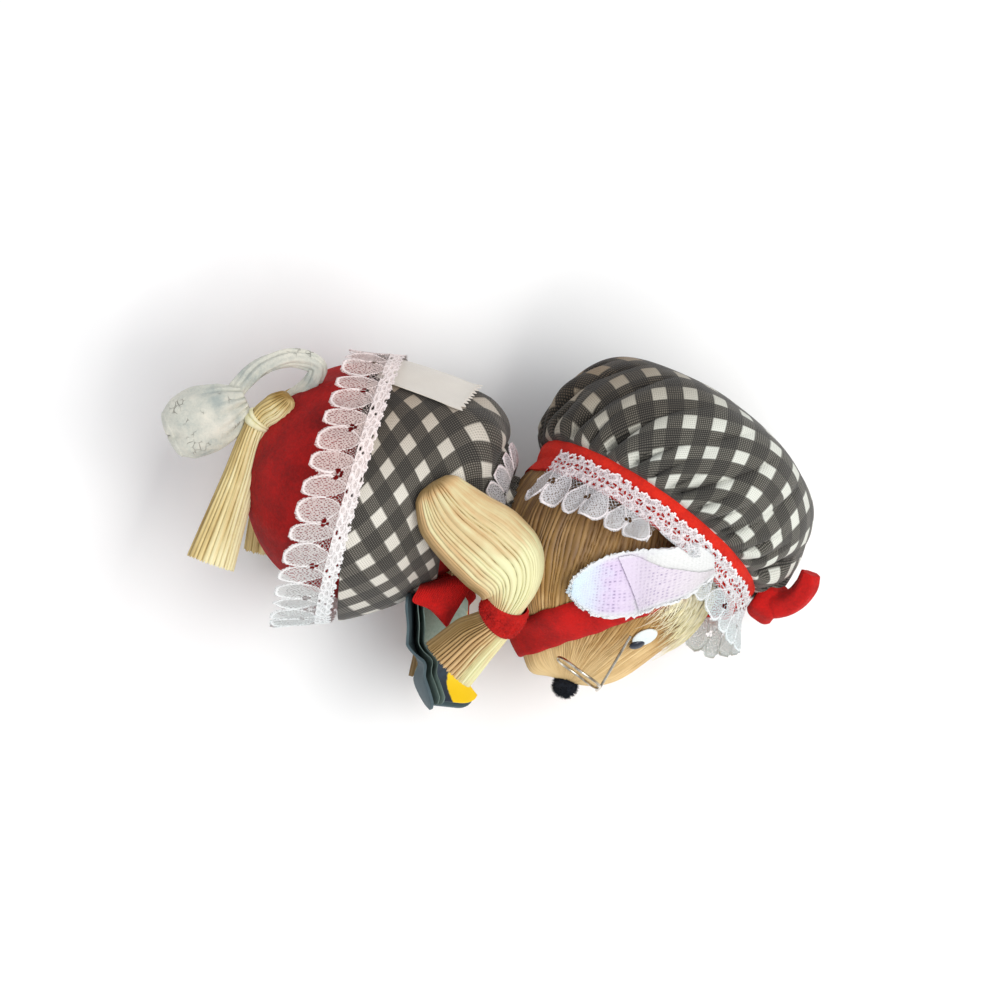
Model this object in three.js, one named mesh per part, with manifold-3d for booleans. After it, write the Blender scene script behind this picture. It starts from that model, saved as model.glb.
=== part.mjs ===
// A corn husk mouse in a gingham dress and a mob cap, holding a booklet, as it lies when it is put down.
// It lies on its left side: +X runs from its tail to its cap, +Y to its back, and +Z up, to its right side.
// Millimetres. The soft undersides are pressed flat where they meet the surface at Z = 0.

import * as THREE from "three";
import { LoftGeometry } from "three/addons/geometries/LoftGeometry.js";
import { mergeVertices } from "three/addons/utils/BufferGeometryUtils.js";
import Module from "manifold-3d";

const wasm = await Module();
wasm.setup();

// Clearance between two pieces that touch, and the finest detail that a cut edge keeps
const GAP = 0.3;
const SMOOTHING = 0.12;

// Pose: the height of the mouse's middle plane, and the way from the neck to the hem
const MIDDLE = 27;
const BODY_TURN = 170.5;
const BODY_TIP = 2;

// Dress, collar and hem lace
const DRESS_LENGTH = 30.5;
const HEM_WIDTH = 50;
const HEM_DEPTH = 51;
const HEM_SLANT = -13.5;
const SHOULDER_WIDTH = 35;
const NECK_WIDTH = 13;
const HEM_LACE_WIDTH = 11;
const HEM_LACE_FLARE = 0.8;
const HEM_LACE_SLANT = -0.5;
const LACE_THICKNESS = 0.6;
const COLLAR_WIDTH = 5;
const COLLAR_THICKNESS = 1;
const LABEL_LENGTH = 17;
const LABEL_WIDTH = 13;
const LABEL_THICKNESS = 0.5;

// Stuffed lower body: round below the hem and slimmer inside the dress
const BODY_RADIUS = 22.6;
const BODY_TOP = 5;

// Head with its blunt snout
const HEAD_RADIUS = 21;
const HEAD_DEPTH = 40;
const SNOUT_REACH = 4.7;
const SNOUT_TURN = -108;
const SNOUT_SPREAD = 33;
const SNOUT_RISE = 17;
const NOSE_RADIUS = 2.4;
const EYE_RADIUS = 2.8;
const PUPIL_RADIUS = 1.6;
const STRAP_WIDTH = 7;
const FELT_THICKNESS = 0.9;
const EAR_LENGTH = 27;
const EAR_WIDTH = 12.4;
const EAR_THICKNESS = 1.4;
const HAIR_THICKNESS = 1.3;

// Spectacles, bent from one wire
const LENS_RADIUS = 4.8;
const LENS_SPACING = 21;
const WIRE_DIAMETER = 0.6;
const TEMPLE_LENGTH = 12;

// Mob cap
const CAP_RADIUS = 22.4;
const CAP_TURN = 54.3;
const CAP_TIP = 13;
const CROWN_RADIUS = 27.2;
const CROWN_HEIGHT = 24.9;
const CROWN_GATHERS = 15;
const GATHER_DEPTH = 0.9;
const BAND_WIDTH = 5.2;
const BRIM_LACE_WIDTH = 11;
const BOW_LENGTH = 8.6;

// Arms, each a bundle of husk tied at the wrist
const SLEEVE_WIDTH = 17.5;
const SLEEVE_DEPTH = 10;
const WRIST_WIDTH = 6.4;
const HAND_LENGTH = 15;
const HAND_WIDTH = 11;
const WRIST_TIE_THICKNESS = 1.1;

// Booklet
const PAGE_LENGTH = 19.4;
const PAGE_WIDTH = 12.2;
const BOOKLET_THICKNESS = 1.1;

// Feet, each a bundle of husk folded over and tied
const FOOT_LENGTH = 28;
const FOOT_END_WIDTH = 9;
const ANKLE_WIDTH = 4.6;
const ANKLE_TIE_THICKNESS = 0.6;

// Tail, with its rolled end
const TAIL_WIDTH = 3;
const TAIL_THICKNESS = 1.8;
const ROLL_LENGTH = 15;
const ROLL_WIDTH = 12.6;
const ROLL_THICKNESS = 10;

const Z_AXIS = new THREE.Vector3(0, 0, 1);
const point = (x, y, z = MIDDLE) => new THREE.Vector3(x, y, z);
const radians = THREE.MathUtils.degToRad;
const mirrored = (p) => new THREE.Vector3(p.x, p.y, 2 * MIDDLE - p.z);

// Places that the pieces are set out from
const NECK = point(5.2, 3);
const HEAD_CENTRE = point(21.5, -4);
const CAP_CENTRE = point(30.1, 2.9);

// Body directions: down to the hem, back, and up to its right side
const body = directions(BODY_TURN, BODY_TIP);
const inBody = (down, back = 0, up = 0) => NECK.clone()
  .addScaledVector(body.down, down).addScaledVector(body.back, back).addScaledVector(body.up, up);

function directions(turn, tip) {
  const [across, drop] = [radians(turn), radians(tip)];
  return {
    down: new THREE.Vector3(Math.cos(across) * Math.cos(drop), Math.sin(across) * Math.cos(drop), -Math.sin(drop)),
    back: new THREE.Vector3(Math.sin(across), -Math.cos(across), 0),
    up: new THREE.Vector3(Math.cos(across) * Math.sin(drop), Math.sin(across) * Math.sin(drop), Math.cos(drop)),
  };
}

// Cap directions: axis out through the crown, front along the rim to the bow, and near, to the right side
const cap = directions(CAP_TURN, CAP_TIP);
const onCap = (radius, angle, height) => CAP_CENTRE.clone()
  .addScaledVector(cap.back, radius * Math.cos(angle))
  .addScaledVector(cap.up, radius * Math.sin(angle))
  .addScaledVector(cap.down, height);

// Solids from geometry, and back

// Welding joins the corners that a geometry keeps twice along its seams and edges
function welded(geometry) {
  const bare = new THREE.BufferGeometry();
  bare.setAttribute("position", geometry.getAttribute("position"));
  bare.setIndex(geometry.getIndex());
  return mergeVertices(bare);
}

function solidOf(geometry) {
  const merged = welded(geometry);
  const vertProperties = new Float32Array(merged.getAttribute("position").array);
  const corners = (i) => [i[0], i[1], i[2]].map((v) => new THREE.Vector3().fromArray(vertProperties, 3 * v));
  const index = merged.getIndex().array;
  const triangles = [];
  let volume = 0;
  for (let i = 0; i < index.length; i += 3) {
    const triangle = [index[i], index[i + 1], index[i + 2]];
    if (new Set(triangle).size < 3) continue;
    const [a, b, c] = corners(triangle);
    volume += a.dot(b.cross(c));
    triangles.push(triangle);
  }
  if (volume < 0) triangles.forEach((triangle) => triangle.reverse());
  const triVerts = new Uint32Array(triangles.flat());
  return new wasm.Manifold(new wasm.Mesh({ numProp: 3, vertProperties, triVerts }));
}

function geometryOf(solid) {
  const mesh = solid.getMesh();
  const geometry = new THREE.BufferGeometry();
  geometry.setAttribute("position", new THREE.BufferAttribute(new Float32Array(mesh.vertProperties), 3));
  geometry.setIndex(new THREE.BufferAttribute(new Uint32Array(mesh.triVerts), 1));
  geometry.computeVertexNormals();
  return geometry;
}

// What is left of a piece once its neighbours' room is cut away, without loose crumbs
function cut(solid, ...neighbours) {
  const left = neighbours.reduce((kept, neighbour) => kept.subtract(neighbour), solid).simplify(SMOOTHING);
  return left.decompose().reduce((most, piece) => (piece.volume() > most.volume() ? piece : most));
}

// Shapes

function reshaped(plain, place) {
  const geometry = welded(plain);
  const positions = geometry.getAttribute("position");
  const vertex = new THREE.Vector3();
  for (let i = 0; i < positions.count; i += 1) {
    const moved = place(vertex.fromBufferAttribute(positions, i));
    positions.setXYZ(i, moved.x, moved.y, moved.z);
  }
  return solidOf(geometry);
}

// A turned form: the profile's points are radius and height, and place says where each comes to lie
function turned(profile, sides, place) {
  const outline = profile.map(([radius, height]) => new THREE.Vector2(radius, height));
  return reshaped(new THREE.LatheGeometry(outline, sides), (p) => {
    const radius = Math.hypot(p.x, p.z);
    return place(radius, radius > 0 ? Math.atan2(p.x, p.z) : 0, p.y);
  });
}

// A form with oval sections, set square to a smooth line through its stations
function lofted(stations, { rows, sides, grow = 0, shape = () => 1, rest = (p) => p }) {
  const spine = new THREE.CatmullRomCurve3(stations.map((station) => station.at));
  const girths = stations.map(({ wide, deep, slant = 0 }) => new THREE.Vector3(wide / 2, deep / 2, slant));
  const girth = new THREE.CatmullRomCurve3(girths);
  const sections = [];
  for (let row = 0; row <= rows; row += 1) {
    const t = row / rows;
    const { x: halfWide, y: halfDeep, z: slant } = girth.getPoint(t);
    const ahead = spine.getTangent(t);
    const side = new THREE.Vector3().crossVectors(Z_AXIS, ahead).normalize().applyAxisAngle(Z_AXIS, radians(slant));
    const over = new THREE.Vector3().crossVectors(ahead, side).normalize();
    const end = row === 0 ? -grow : row === rows ? grow : 0;
    const centre = spine.getPoint(t).addScaledVector(ahead, end);
    const section = [];
    for (let step = 0; step < sides; step += 1) {
      const angle = (2 * Math.PI * step) / sides;
      const swell = shape(angle, t);
      const across = (halfWide * swell + grow) * Math.cos(angle);
      const high = (halfDeep * swell + grow) * Math.sin(angle);
      section.push(rest(centre.clone().addScaledVector(side, across).addScaledVector(over, high), angle));
    }
    sections.push(section);
  }
  return solidOf(new LoftGeometry(sections, { closed: true, capStart: true, capEnd: true }));
}

function ball(centre, radii, across, up, normal = Z_AXIS) {
  const geometry = welded(new THREE.SphereGeometry(1, across, up));
  geometry.scale(radii.x, radii.y, radii.z);
  geometry.applyQuaternion(new THREE.Quaternion().setFromUnitVectors(Z_AXIS, normal));
  geometry.translate(centre.x, centre.y, centre.z);
  return solidOf(geometry);
}

function block(centre, size, turn = 0) {
  const geometry = welded(new THREE.BoxGeometry(size.x, size.y, size.z));
  geometry.rotateZ(radians(turn));
  geometry.translate(centre.x, centre.y, centre.z);
  return solidOf(geometry);
}

function wire(points, steps, sides = 5) {
  const path = new THREE.CatmullRomCurve3(points);
  const frames = path.computeFrenetFrames(steps, false);
  const sections = [];
  for (let row = 0; row <= steps; row += 1) {
    const centre = path.getPointAt(row / steps);
    const section = [];
    for (let step = 0; step < sides; step += 1) {
      const angle = (2 * Math.PI * step) / sides;
      section.push(centre.clone()
        .addScaledVector(frames.normals[row], (WIRE_DIAMETER / 2) * Math.cos(angle))
        .addScaledVector(frames.binormals[row], (WIRE_DIAMETER / 2) * Math.sin(angle)));
    }
    sections.push(section);
  }
  return solidOf(new LoftGeometry(sections, { closed: true, capStart: true, capEnd: true }));
}

// Cloth eases down to a height over the surface and spreads there, instead of passing through it
const EASE = 0.7;
const easedDown = (height) => (p) => {
  p.z = height + EASE * Math.log1p(Math.exp((p.z - height) / EASE));
  return p;
};

// All that lies below the surface
const belowSurface = block(point(0, 0, -50), new THREE.Vector3(400, 400, 100));

// Head

function headPoint(direction, grow) {
  const turn = Math.atan2(direction.y, direction.x) - radians(SNOUT_TURN);
  const aside = Math.abs(Math.atan2(Math.sin(turn), Math.cos(turn))) / radians(SNOUT_SPREAD);
  const height = Math.asin(direction.z) / radians(SNOUT_RISE);
  const snout = SNOUT_REACH * Math.exp(-(aside ** 3) - height ** 2);
  const radius = HEAD_RADIUS + snout + grow;
  const deep = HEAD_DEPTH / 2 + snout + grow;
  return HEAD_CENTRE.clone().add(new THREE.Vector3(direction.x * radius, direction.y * radius, direction.z * deep));
}

function head(grow = 0) {
  return reshaped(new THREE.SphereGeometry(1, 20, 12).rotateX(Math.PI / 2), (p) => headPoint(p.normalize(), grow));
}

// A layer of felt or hair that lies on the head inside a block
function headLayer(thickness, within) {
  return cut(head(GAP + thickness).intersect(within), head(GAP));
}

const headDirection = (turn, rise) => new THREE.Vector3(
  Math.cos(radians(turn)) * Math.cos(radians(rise)),
  Math.sin(radians(turn)) * Math.cos(radians(rise)),
  Math.sin(radians(rise)),
);

const NOSE_TURN = -107;
function nose() {
  const direction = headDirection(NOSE_TURN, 0);
  const centre = headPoint(direction, 0.15 * NOSE_RADIUS);
  return cut(ball(centre, new THREE.Vector3(NOSE_RADIUS, NOSE_RADIUS, NOSE_RADIUS), 10, 8), head(GAP));
}

const EYE_TURN = -64;
const EYE_RISE = 35;
const EYE_BULGE = 0.45;
const PUPIL_SHIFT = -6;
function eye(side, grow = 0) {
  const direction = headDirection(EYE_TURN, side * EYE_RISE);
  const radii = new THREE.Vector3(EYE_RADIUS + grow, EYE_RADIUS + grow, EYE_BULGE * EYE_RADIUS + GAP + grow);
  return cut(ball(headPoint(direction, 0), radii, 12, 6, direction), head(GAP));
}

function pupil(side) {
  const direction = headDirection(EYE_TURN + PUPIL_SHIFT, side * EYE_RISE);
  const centre = headPoint(direction, EYE_BULGE * EYE_RADIUS);
  const radii = new THREE.Vector3(PUPIL_RADIUS, PUPIL_RADIUS, EYE_BULGE * PUPIL_RADIUS + 2 * GAP);
  return cut(ball(centre, radii, 8, 4, direction), head(GAP), eye(side, GAP));
}

// The strap goes under the chin, from below one ear to below the other
const STRAP_TURN = 20.3;
const STRAP_CENTRE = point(8.5, -19);
const STRAP_LENGTH = 44;
function chinStrap() {
  const size = new THREE.Vector3(STRAP_LENGTH, STRAP_WIDTH, 2 * HEAD_DEPTH);
  return headLayer(FELT_THICKNESS, block(STRAP_CENTRE, size, STRAP_TURN));
}

const HAIR_CENTRE = point(35, -17);
const HAIR_SIZE = new THREE.Vector3(14, 9.5, 30);
const HAIR_TURN = -22;
function hair() {
  return headLayer(HAIR_THICKNESS, block(HAIR_CENTRE, HAIR_SIZE, HAIR_TURN));
}

// Each ear is a flat leaf, from its root on the brim to its tip over the strap
const RIGHT_EAR_ROOT = point(41.4, -8, MIDDLE + 22);
const LEFT_EAR_ROOT = point(36.5, -14.5, MIDDLE - 21);
const EAR_TURN = -171.5;
const EAR_DROP = 1.5;
function ear(root, side) {
  const along = new THREE.Vector3(Math.cos(radians(EAR_TURN)), Math.sin(radians(EAR_TURN)), 0);
  const station = (share, width) => {
    const at = root.clone().addScaledVector(along, share * EAR_LENGTH);
    at.z -= side * EAR_DROP * share;
    return { at, wide: width * EAR_WIDTH, deep: EAR_THICKNESS };
  };
  const stations = [
    station(0, 0.42), station(0.22, 0.8), station(0.45, 0.97), station(0.68, 1), station(0.87, 0.72), station(1, 0.2),
  ];
  return cut(lofted(stations, { rows: 8, sides: 10 }), head(GAP), strapRoom, hairRoom, brimRoom, bandSolid(GAP));
}

// Spectacles: two rings low on the snout, a bridge over it, and a temple back to each side of the head
const LENS_CENTRE = point(16.3, -26.5);
const LENS_TURN = 144;
const TEMPLE_SPREAD = 4;
const BRIDGE_ARCH = 0.8;
function spectacles() {
  const upright = new THREE.Vector3(Math.cos(radians(LENS_TURN)), Math.sin(radians(LENS_TURN)), 0);
  const outward = new THREE.Vector3(-upright.y, upright.x, 0).negate();
  const parts = [];
  for (const side of [1, -1]) {
    const centre = LENS_CENTRE.clone().setZ(MIDDLE + (side * LENS_SPACING) / 2);
    const ring = welded(new THREE.TorusGeometry(LENS_RADIUS, WIRE_DIAMETER / 2, 5, 12));
    ring.applyMatrix4(new THREE.Matrix4().makeBasis(upright, Z_AXIS, outward));
    ring.translate(centre.x, centre.y, centre.z);
    const corner = centre.clone().addScaledVector(upright, -LENS_RADIUS);
    const end = corner.clone().addScaledVector(outward, TEMPLE_LENGTH).add(point(0, 0, side * TEMPLE_SPREAD));
    parts.push(solidOf(ring), wire([corner, corner.clone().lerp(end, 0.5), end], 4));
  }
  const corner = LENS_CENTRE.clone().addScaledVector(upright, -LENS_RADIUS);
  const end = (side) => corner.clone().setZ(MIDDLE + (side * LENS_SPACING) / 2);
  const bridge = wire([end(1), corner.clone().addScaledVector(outward, -BRIDGE_ARCH), end(-1)], 6);
  return parts.reduce((whole, piece) => whole.add(piece), bridge);
}

// Mob cap

// The crown's profile from the rim to its top, as shares of how far it swells and how high it stands
const CROWN_PROFILE = [[0.12, 0.05], [0.9, 0.2], [1, 0.36], [0.72, 0.58], [0.04, 0.78], [-1.9, 0.94]];
const CROWN_FOOT = -2.6;
function crown() {
  const swell = CROWN_RADIUS - CAP_RADIUS;
  const rows = CROWN_PROFILE.map(([out, up]) => [CAP_RADIUS + out * swell, up * CROWN_HEIGHT]);
  const profile = [[0, CROWN_FOOT], [CAP_RADIUS, CROWN_FOOT], [CAP_RADIUS, 0], ...rows, [0, CROWN_HEIGHT]];
  const place = (radius, angle, height) => {
    const fade = Math.exp(-(((height - 5) / 8) ** 2)) * Math.min(1, radius / CAP_RADIUS);
    const gather = height > 0 ? GATHER_DEPTH * fade * Math.cos(CROWN_GATHERS * angle) : 0;
    return onCap(Math.max(radius + gather, 0), angle, height);
  };
  return cut(turned(profile, 2 * CROWN_GATHERS, place), bandSolid(GAP), head(GAP), belowSurface);
}

// The felt band runs around the rim
const BAND_TOP = 2.2;
function bandSolid(grow = 0) {
  const [inside, outside] = [CAP_RADIUS + GAP - grow, CAP_RADIUS + GAP + FELT_THICKNESS + grow];
  const [top, foot] = [BAND_TOP + grow, BAND_TOP - BAND_WIDTH - grow];
  return turned([[inside, foot], [outside, foot], [outside, top], [inside, top], [inside, foot]], 30, onCap);
}

// The brim's lace starts on the band's lower half and stands out a little further down
const BRIM_TOP = -0.8;
const BRIM_FLARE = 1.2;
const BRIM_END = 0.86;
const BRIM_FRONT_SHARE = 0.2;
const BRIM_SIDE_SHARE = -0.4;
function brimLace(grow = 0) {
  const inside = CAP_RADIUS + 2 * GAP + FELT_THICKNESS - grow;
  const outside = inside + LACE_THICKNESS + 2 * grow;
  const top = BRIM_TOP + grow;
  const foot = BRIM_TOP - BRIM_LACE_WIDTH - grow;
  const bend = BRIM_TOP - 0.4 * BRIM_LACE_WIDTH;
  const profile = [
    [inside, top], [inside, bend], [inside + BRIM_FLARE, foot], [outside + BRIM_FLARE, foot],
    [outside, bend], [outside, top], [inside, top],
  ];
  const open = CAP_CENTRE.clone().addScaledVector(cap.back, -(BRIM_END * CAP_RADIUS + CAP_RADIUS - grow));
  const size = new THREE.Vector3(4 * CAP_RADIUS, 2 * CAP_RADIUS, 4 * CAP_RADIUS);
  const place = (radius, angle, height) => {
    const share = 1 + BRIM_FRONT_SHARE * Math.cos(angle) + BRIM_SIDE_SHARE * Math.sin(angle) ** 2;
    const drop = Math.min(height - BRIM_TOP, 0) * share;
    return onCap(radius, angle, height > BRIM_TOP ? height : BRIM_TOP + drop);
  };
  return cut(turned(profile, 30, place), block(open, size, CAP_TURN));
}

// The bow sits where the band ends meet, at the front: a knot with a loop to each side
const BOW_HEIGHT = -1;
function bow() {
  const start = onCap(CAP_RADIUS + FELT_THICKNESS + 3.4, 0, BOW_HEIGHT);
  const knot = ball(start, new THREE.Vector3(3.4, 4.6, 4), 10, 6);
  const loops = [1, -1].map((side) => lofted([
    { at: start.clone(), wide: 7, deep: 5 },
    { at: start.clone().add(point(0.45 * BOW_LENGTH, 0.6, side * 3)), wide: 6.4, deep: 5 },
    { at: start.clone().add(point(0.75 * BOW_LENGTH, 2.6, side * 5.4)), wide: 5, deep: 4.6 },
    { at: start.clone().add(point(0.98 * BOW_LENGTH, 5.6, side * 6.4)), wide: 2.6, deep: 2.8 },
  ], { rows: 5, sides: 8 }));
  return cut(loops.reduce((whole, loop) => whole.add(loop), knot), bandSolid(GAP), crownSolid, brimRoom);
}

// Dress, over the stuffed body

const BODY_CENTRE = DRESS_LENGTH - 1.2;
const BODY_BACK = 0.9;
function stuffedBody(grow = 0) {
  const radius = BODY_RADIUS + grow;
  const below = [90, 75, 60, 45, 30, 15, 0].map((turn) => [
    radius * Math.cos(radians(turn)), BODY_CENTRE + radius * Math.sin(radians(turn)),
  ]);
  const within = [[0.8, 0.45], [0.5, 0.8], [0, 1]].map(([wide, up]) => [
    wide * BODY_RADIUS + (wide > 0 ? grow : 0), BODY_CENTRE - up * (BODY_CENTRE - BODY_TOP + grow),
  ]);
  below[0][0] = 0;
  return turned([...below, ...within], 20, (out, angle, down) => (
    inBody(down, BODY_BACK + out * Math.cos(angle), out * Math.sin(angle))
  ));
}

// Each station gives the share of the length, how far it stands to the back, its width and its slant
const DRESS_STATIONS = [
  { share: 0, back: 0, wide: 0, slant: 14 },
  { share: 0.09, back: 0.3, wide: 0.07, slant: 10 },
  { share: 0.235, back: 2.2, wide: 0.38, slant: 6 },
  { share: 0.36, back: 3.5, wide: 0.94, slant: 0 },
  { share: 0.64, back: 2.9, wide: 1.42, slant: -2 },
  { share: 1, back: 0, wide: 2, slant: HEM_SLANT },
];

// The width goes from the neck to the shoulder for wide up to 1, and on from there to the hem up to 2
function dressWidth(wide, widths) {
  const [neck, shoulder, hem] = widths;
  return wide <= 1 ? neck + wide * (shoulder - neck) : shoulder + (wide - 1) * (hem - shoulder);
}

function dressForm(grow = 0, rest = easedDown(LACE_THICKNESS + GAP)) {
  const stations = DRESS_STATIONS.map(({ share, back, wide, slant }) => ({
    at: inBody(share * DRESS_LENGTH, back),
    wide: dressWidth(wide, [NECK_WIDTH, SHOULDER_WIDTH, HEM_WIDTH]),
    deep: dressWidth(wide, [NECK_WIDTH, SHOULDER_WIDTH, HEM_DEPTH]),
    slant,
  }));
  const folds = (angle, t) => 1 + 0.012 * t * Math.cos(6 * angle);
  return lofted(stations, { rows: 7, sides: 26, grow, shape: folds, rest });
}

// The hem's lace is a thin frill on the dress, from under the hem to past it
const HEM_LACE_LAP = 2.2;
const HEM_LACE_FALL = 1.4;
function hemLace() {
  const layer = (outside, past) => {
    const stations = [-past, 0.35, 1 + past].map((share) => {
      const [wide, deep] = [HEM_WIDTH, HEM_DEPTH].map((d) => d + 2 * (2 * GAP + outside + share * HEM_LACE_FLARE));
      const at = inBody(DRESS_LENGTH - HEM_LACE_LAP + share * HEM_LACE_WIDTH, -HEM_LACE_FALL * share);
      return { at, wide, deep, slant: HEM_SLANT + share * HEM_LACE_SLANT };
    });
    return lofted(stations, { rows: 2, sides: 26, rest: easedDown(LACE_THICKNESS - outside) });
  };
  return cut(layer(LACE_THICKNESS, 0), layer(0, 0.1), dressForm(GAP));
}

// The collar's lace lies on the top of the dress, around the neck
const COLLAR_TOP = 2.4;
function collarLace() {
  const size = new THREE.Vector3(COLLAR_WIDTH, 2 * SHOULDER_WIDTH, 2 * SHOULDER_WIDTH);
  const within = block(inBody(COLLAR_TOP + COLLAR_WIDTH / 2), size, BODY_TURN);
  return cut(dressForm(GAP + COLLAR_THICKNESS).intersect(within), dressForm(GAP), head(GAP));
}

// The cloth label lies over the back of the dress
const LABEL_CENTRE = point(-11, 27.5);
const LABEL_TURN = -28.5;
function label() {
  const size = new THREE.Vector3(LABEL_LENGTH, 12, LABEL_WIDTH);
  const within = block(LABEL_CENTRE.clone().setZ(MIDDLE + LABEL_WIDTH / 2 + 2), size, LABEL_TURN);
  return cut(dressForm(GAP + LABEL_THICKNESS).intersect(within), dressForm(GAP));
}

// Arms: each sleeve swells below the shoulder, is tied at the wrist and fans out as the hand

const husk = (ridges, depth) => (angle) => 1 + depth * Math.cos(ridges * angle);

function armStations(shoulder, elbow, wrist, tip) {
  const between = (a, b, share) => a.clone().lerp(b, share);
  return [
    { at: shoulder, wide: 0.42 * SLEEVE_WIDTH, deep: 0.45 * SLEEVE_DEPTH },
    { at: between(shoulder, elbow, 0.3), wide: 0.86 * SLEEVE_WIDTH, deep: 0.8 * SLEEVE_DEPTH },
    { at: between(shoulder, elbow, 0.75), wide: SLEEVE_WIDTH, deep: SLEEVE_DEPTH },
    { at: elbow, wide: 0.86 * SLEEVE_WIDTH, deep: 0.94 * SLEEVE_DEPTH },
    { at: wrist, wide: WRIST_WIDTH, deep: WRIST_WIDTH },
    { at: between(wrist, tip, 0.55), wide: 0.85 * HAND_WIDTH, deep: 0.6 * HAND_WIDTH },
    { at: tip, wide: HAND_WIDTH, deep: 0.55 * HAND_WIDTH },
  ];
}

const SHOULDER = point(-11, 9.2, MIDDLE + 20.6);
const RIGHT_ELBOW = point(4, -8, MIDDLE + 18);
const RIGHT_WRIST = point(2.4, -15, MIDDLE + 15.5);
const RIGHT_TIP_WAY = new THREE.Vector3(-0.69, -0.66, -0.3).normalize();
const LEFT_ELBOW = point(-4.4, -5.4, MIDDLE - 19.4);
const LEFT_WRIST = point(-8.4, -13.2, MIDDLE - 14);
const LEFT_TIP_WAY = new THREE.Vector3(-0.1, -0.98, -0.1).normalize();

const rightArmLine = armStations(
  SHOULDER, RIGHT_ELBOW, RIGHT_WRIST, RIGHT_WRIST.clone().addScaledVector(RIGHT_TIP_WAY, HAND_LENGTH),
);
const leftArmLine = armStations(
  mirrored(SHOULDER), LEFT_ELBOW, LEFT_WRIST, LEFT_WRIST.clone().addScaledVector(LEFT_TIP_WAY, HAND_LENGTH),
);

function armForm(stations, grow = 0) {
  return lofted(stations, { rows: 11, sides: 12, grow, shape: husk(4, 0.03) });
}

// A tie or ribbon around a bundle, between two shares of its line
function tieAround(stations, [from, to], thickness, sides) {
  const spine = new THREE.CatmullRomCurve3(stations.map((station) => station.at));
  const girth = new THREE.CatmullRomCurve3(stations.map(({ wide, deep }) => new THREE.Vector3(wide, deep, 0)));
  const rows = [0, 0.3, 0.7, 1].map((share) => {
    const t = from + share * (to - from);
    const { x: wide, y: deep } = girth.getPoint(t);
    const over = 2 * (GAP + thickness * Math.sin(Math.PI * (0.15 + 0.7 * share)));
    return { at: spine.getPoint(t), wide: wide + over, deep: deep + over };
  });
  return lofted(rows, { rows: 3, sides });
}

// Booklet: two halves that open from a spine, with the right hand on one and the left hand under the other
const SPINE_FOOT = point(-14.4, -12.9, MIDDLE - 4.5);
const NEAR_LEAN = 80;
const FAR_LEAN = -45;
function booklet(grow = 0) {
  const half = (lean) => {
    const way = new THREE.Vector2(Math.cos(radians(lean)), Math.sin(radians(lean)));
    return way.multiplyScalar(PAGE_WIDTH + grow);
  };
  const thick = BOOKLET_THICKNESS / 2 + grow;
  const sideways = (way) => new THREE.Vector2(-way.y, way.x).normalize().multiplyScalar(thick);
  const [near, far] = [half(NEAR_LEAN), half(FAR_LEAN)];
  const inner = sideways(far).sub(sideways(near)).normalize().multiplyScalar(1.25 * thick);
  const outline = [
    inner, far.clone().add(sideways(far)), far.clone().sub(sideways(far)), inner.clone().negate(),
    near.clone().add(sideways(near)), near.clone().sub(sideways(near)),
  ];
  const depth = PAGE_LENGTH + 2 * grow;
  const geometry = welded(new THREE.ExtrudeGeometry(new THREE.Shape(outline), { depth, bevelEnabled: false }));
  geometry.rotateX(Math.PI / 2);
  geometry.translate(SPINE_FOOT.x, SPINE_FOOT.y + grow, SPINE_FOOT.z);
  return solidOf(geometry);
}

// Feet

const FOOT_FOLD = point(-37.3, 24.7, MIDDLE + 10.5);
const RIGHT_FOOT_WAY = new THREE.Vector3(-0.33, -0.93, -0.1).normalize();
const RIGHT_ANKLE = point(-43, 20.2, MIDDLE + 6);
const LEFT_FOLD = point(-34.6, 25.6, MIDDLE - 8);
const LEFT_ANKLE = point(-40, 21.6, MIDDLE - 10.5);
const LEFT_FOOT_WAY = new THREE.Vector3(-0.08, -0.9, -0.42).normalize();

function footStations(fold, ankle, way) {
  const along = (share) => ankle.clone().addScaledVector(way, share * FOOT_LENGTH);
  return [
    { at: fold, wide: 0.7 * ANKLE_WIDTH, deep: 0.5 * ANKLE_WIDTH },
    { at: fold.clone().lerp(ankle, 0.45), wide: 1.2 * ANKLE_WIDTH, deep: 0.8 * ANKLE_WIDTH },
    { at: ankle, wide: ANKLE_WIDTH, deep: 0.8 * ANKLE_WIDTH },
    { at: along(0.45), wide: 0.72 * FOOT_END_WIDTH, deep: 1.1 * ANKLE_WIDTH },
    { at: along(1), wide: FOOT_END_WIDTH, deep: 1.1 * ANKLE_WIDTH },
  ];
}

const rightFootLine = footStations(FOOT_FOLD, RIGHT_ANKLE, RIGHT_FOOT_WAY);
const leftFootLine = footStations(LEFT_FOLD, LEFT_ANKLE, LEFT_FOOT_WAY);
const footForm = (stations, grow = 0) => lofted(stations, { rows: 7, sides: 12, grow, shape: husk(4, 0.04) });

// Tail: a strip of cloth that loops from the body to its thick rolled end
const TAIL_LINE = [
  point(-37.5, 24, MIDDLE + 5), point(-33.4, 27.2, MIDDLE + 8), point(-32.2, 30.2, MIDDLE + 8.5),
  point(-36.6, 32, MIDDLE + 8), point(-42.8, 30.2, MIDDLE + 6.5), point(-47, 26.4, MIDDLE + 4.5),
];
const ROLL_CENTRE = point(-52.4, 21, MIDDLE + 4);
const ROLL_TURN = 24;
function tail() {
  const stations = TAIL_LINE.map((at) => ({ at, wide: TAIL_WIDTH, deep: TAIL_THICKNESS }));
  return cut(lofted(stations, { rows: 15, sides: 8 }), stuffedBody(GAP), dressForm(GAP), rightFootRoom, rollForm(GAP));
}

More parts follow.
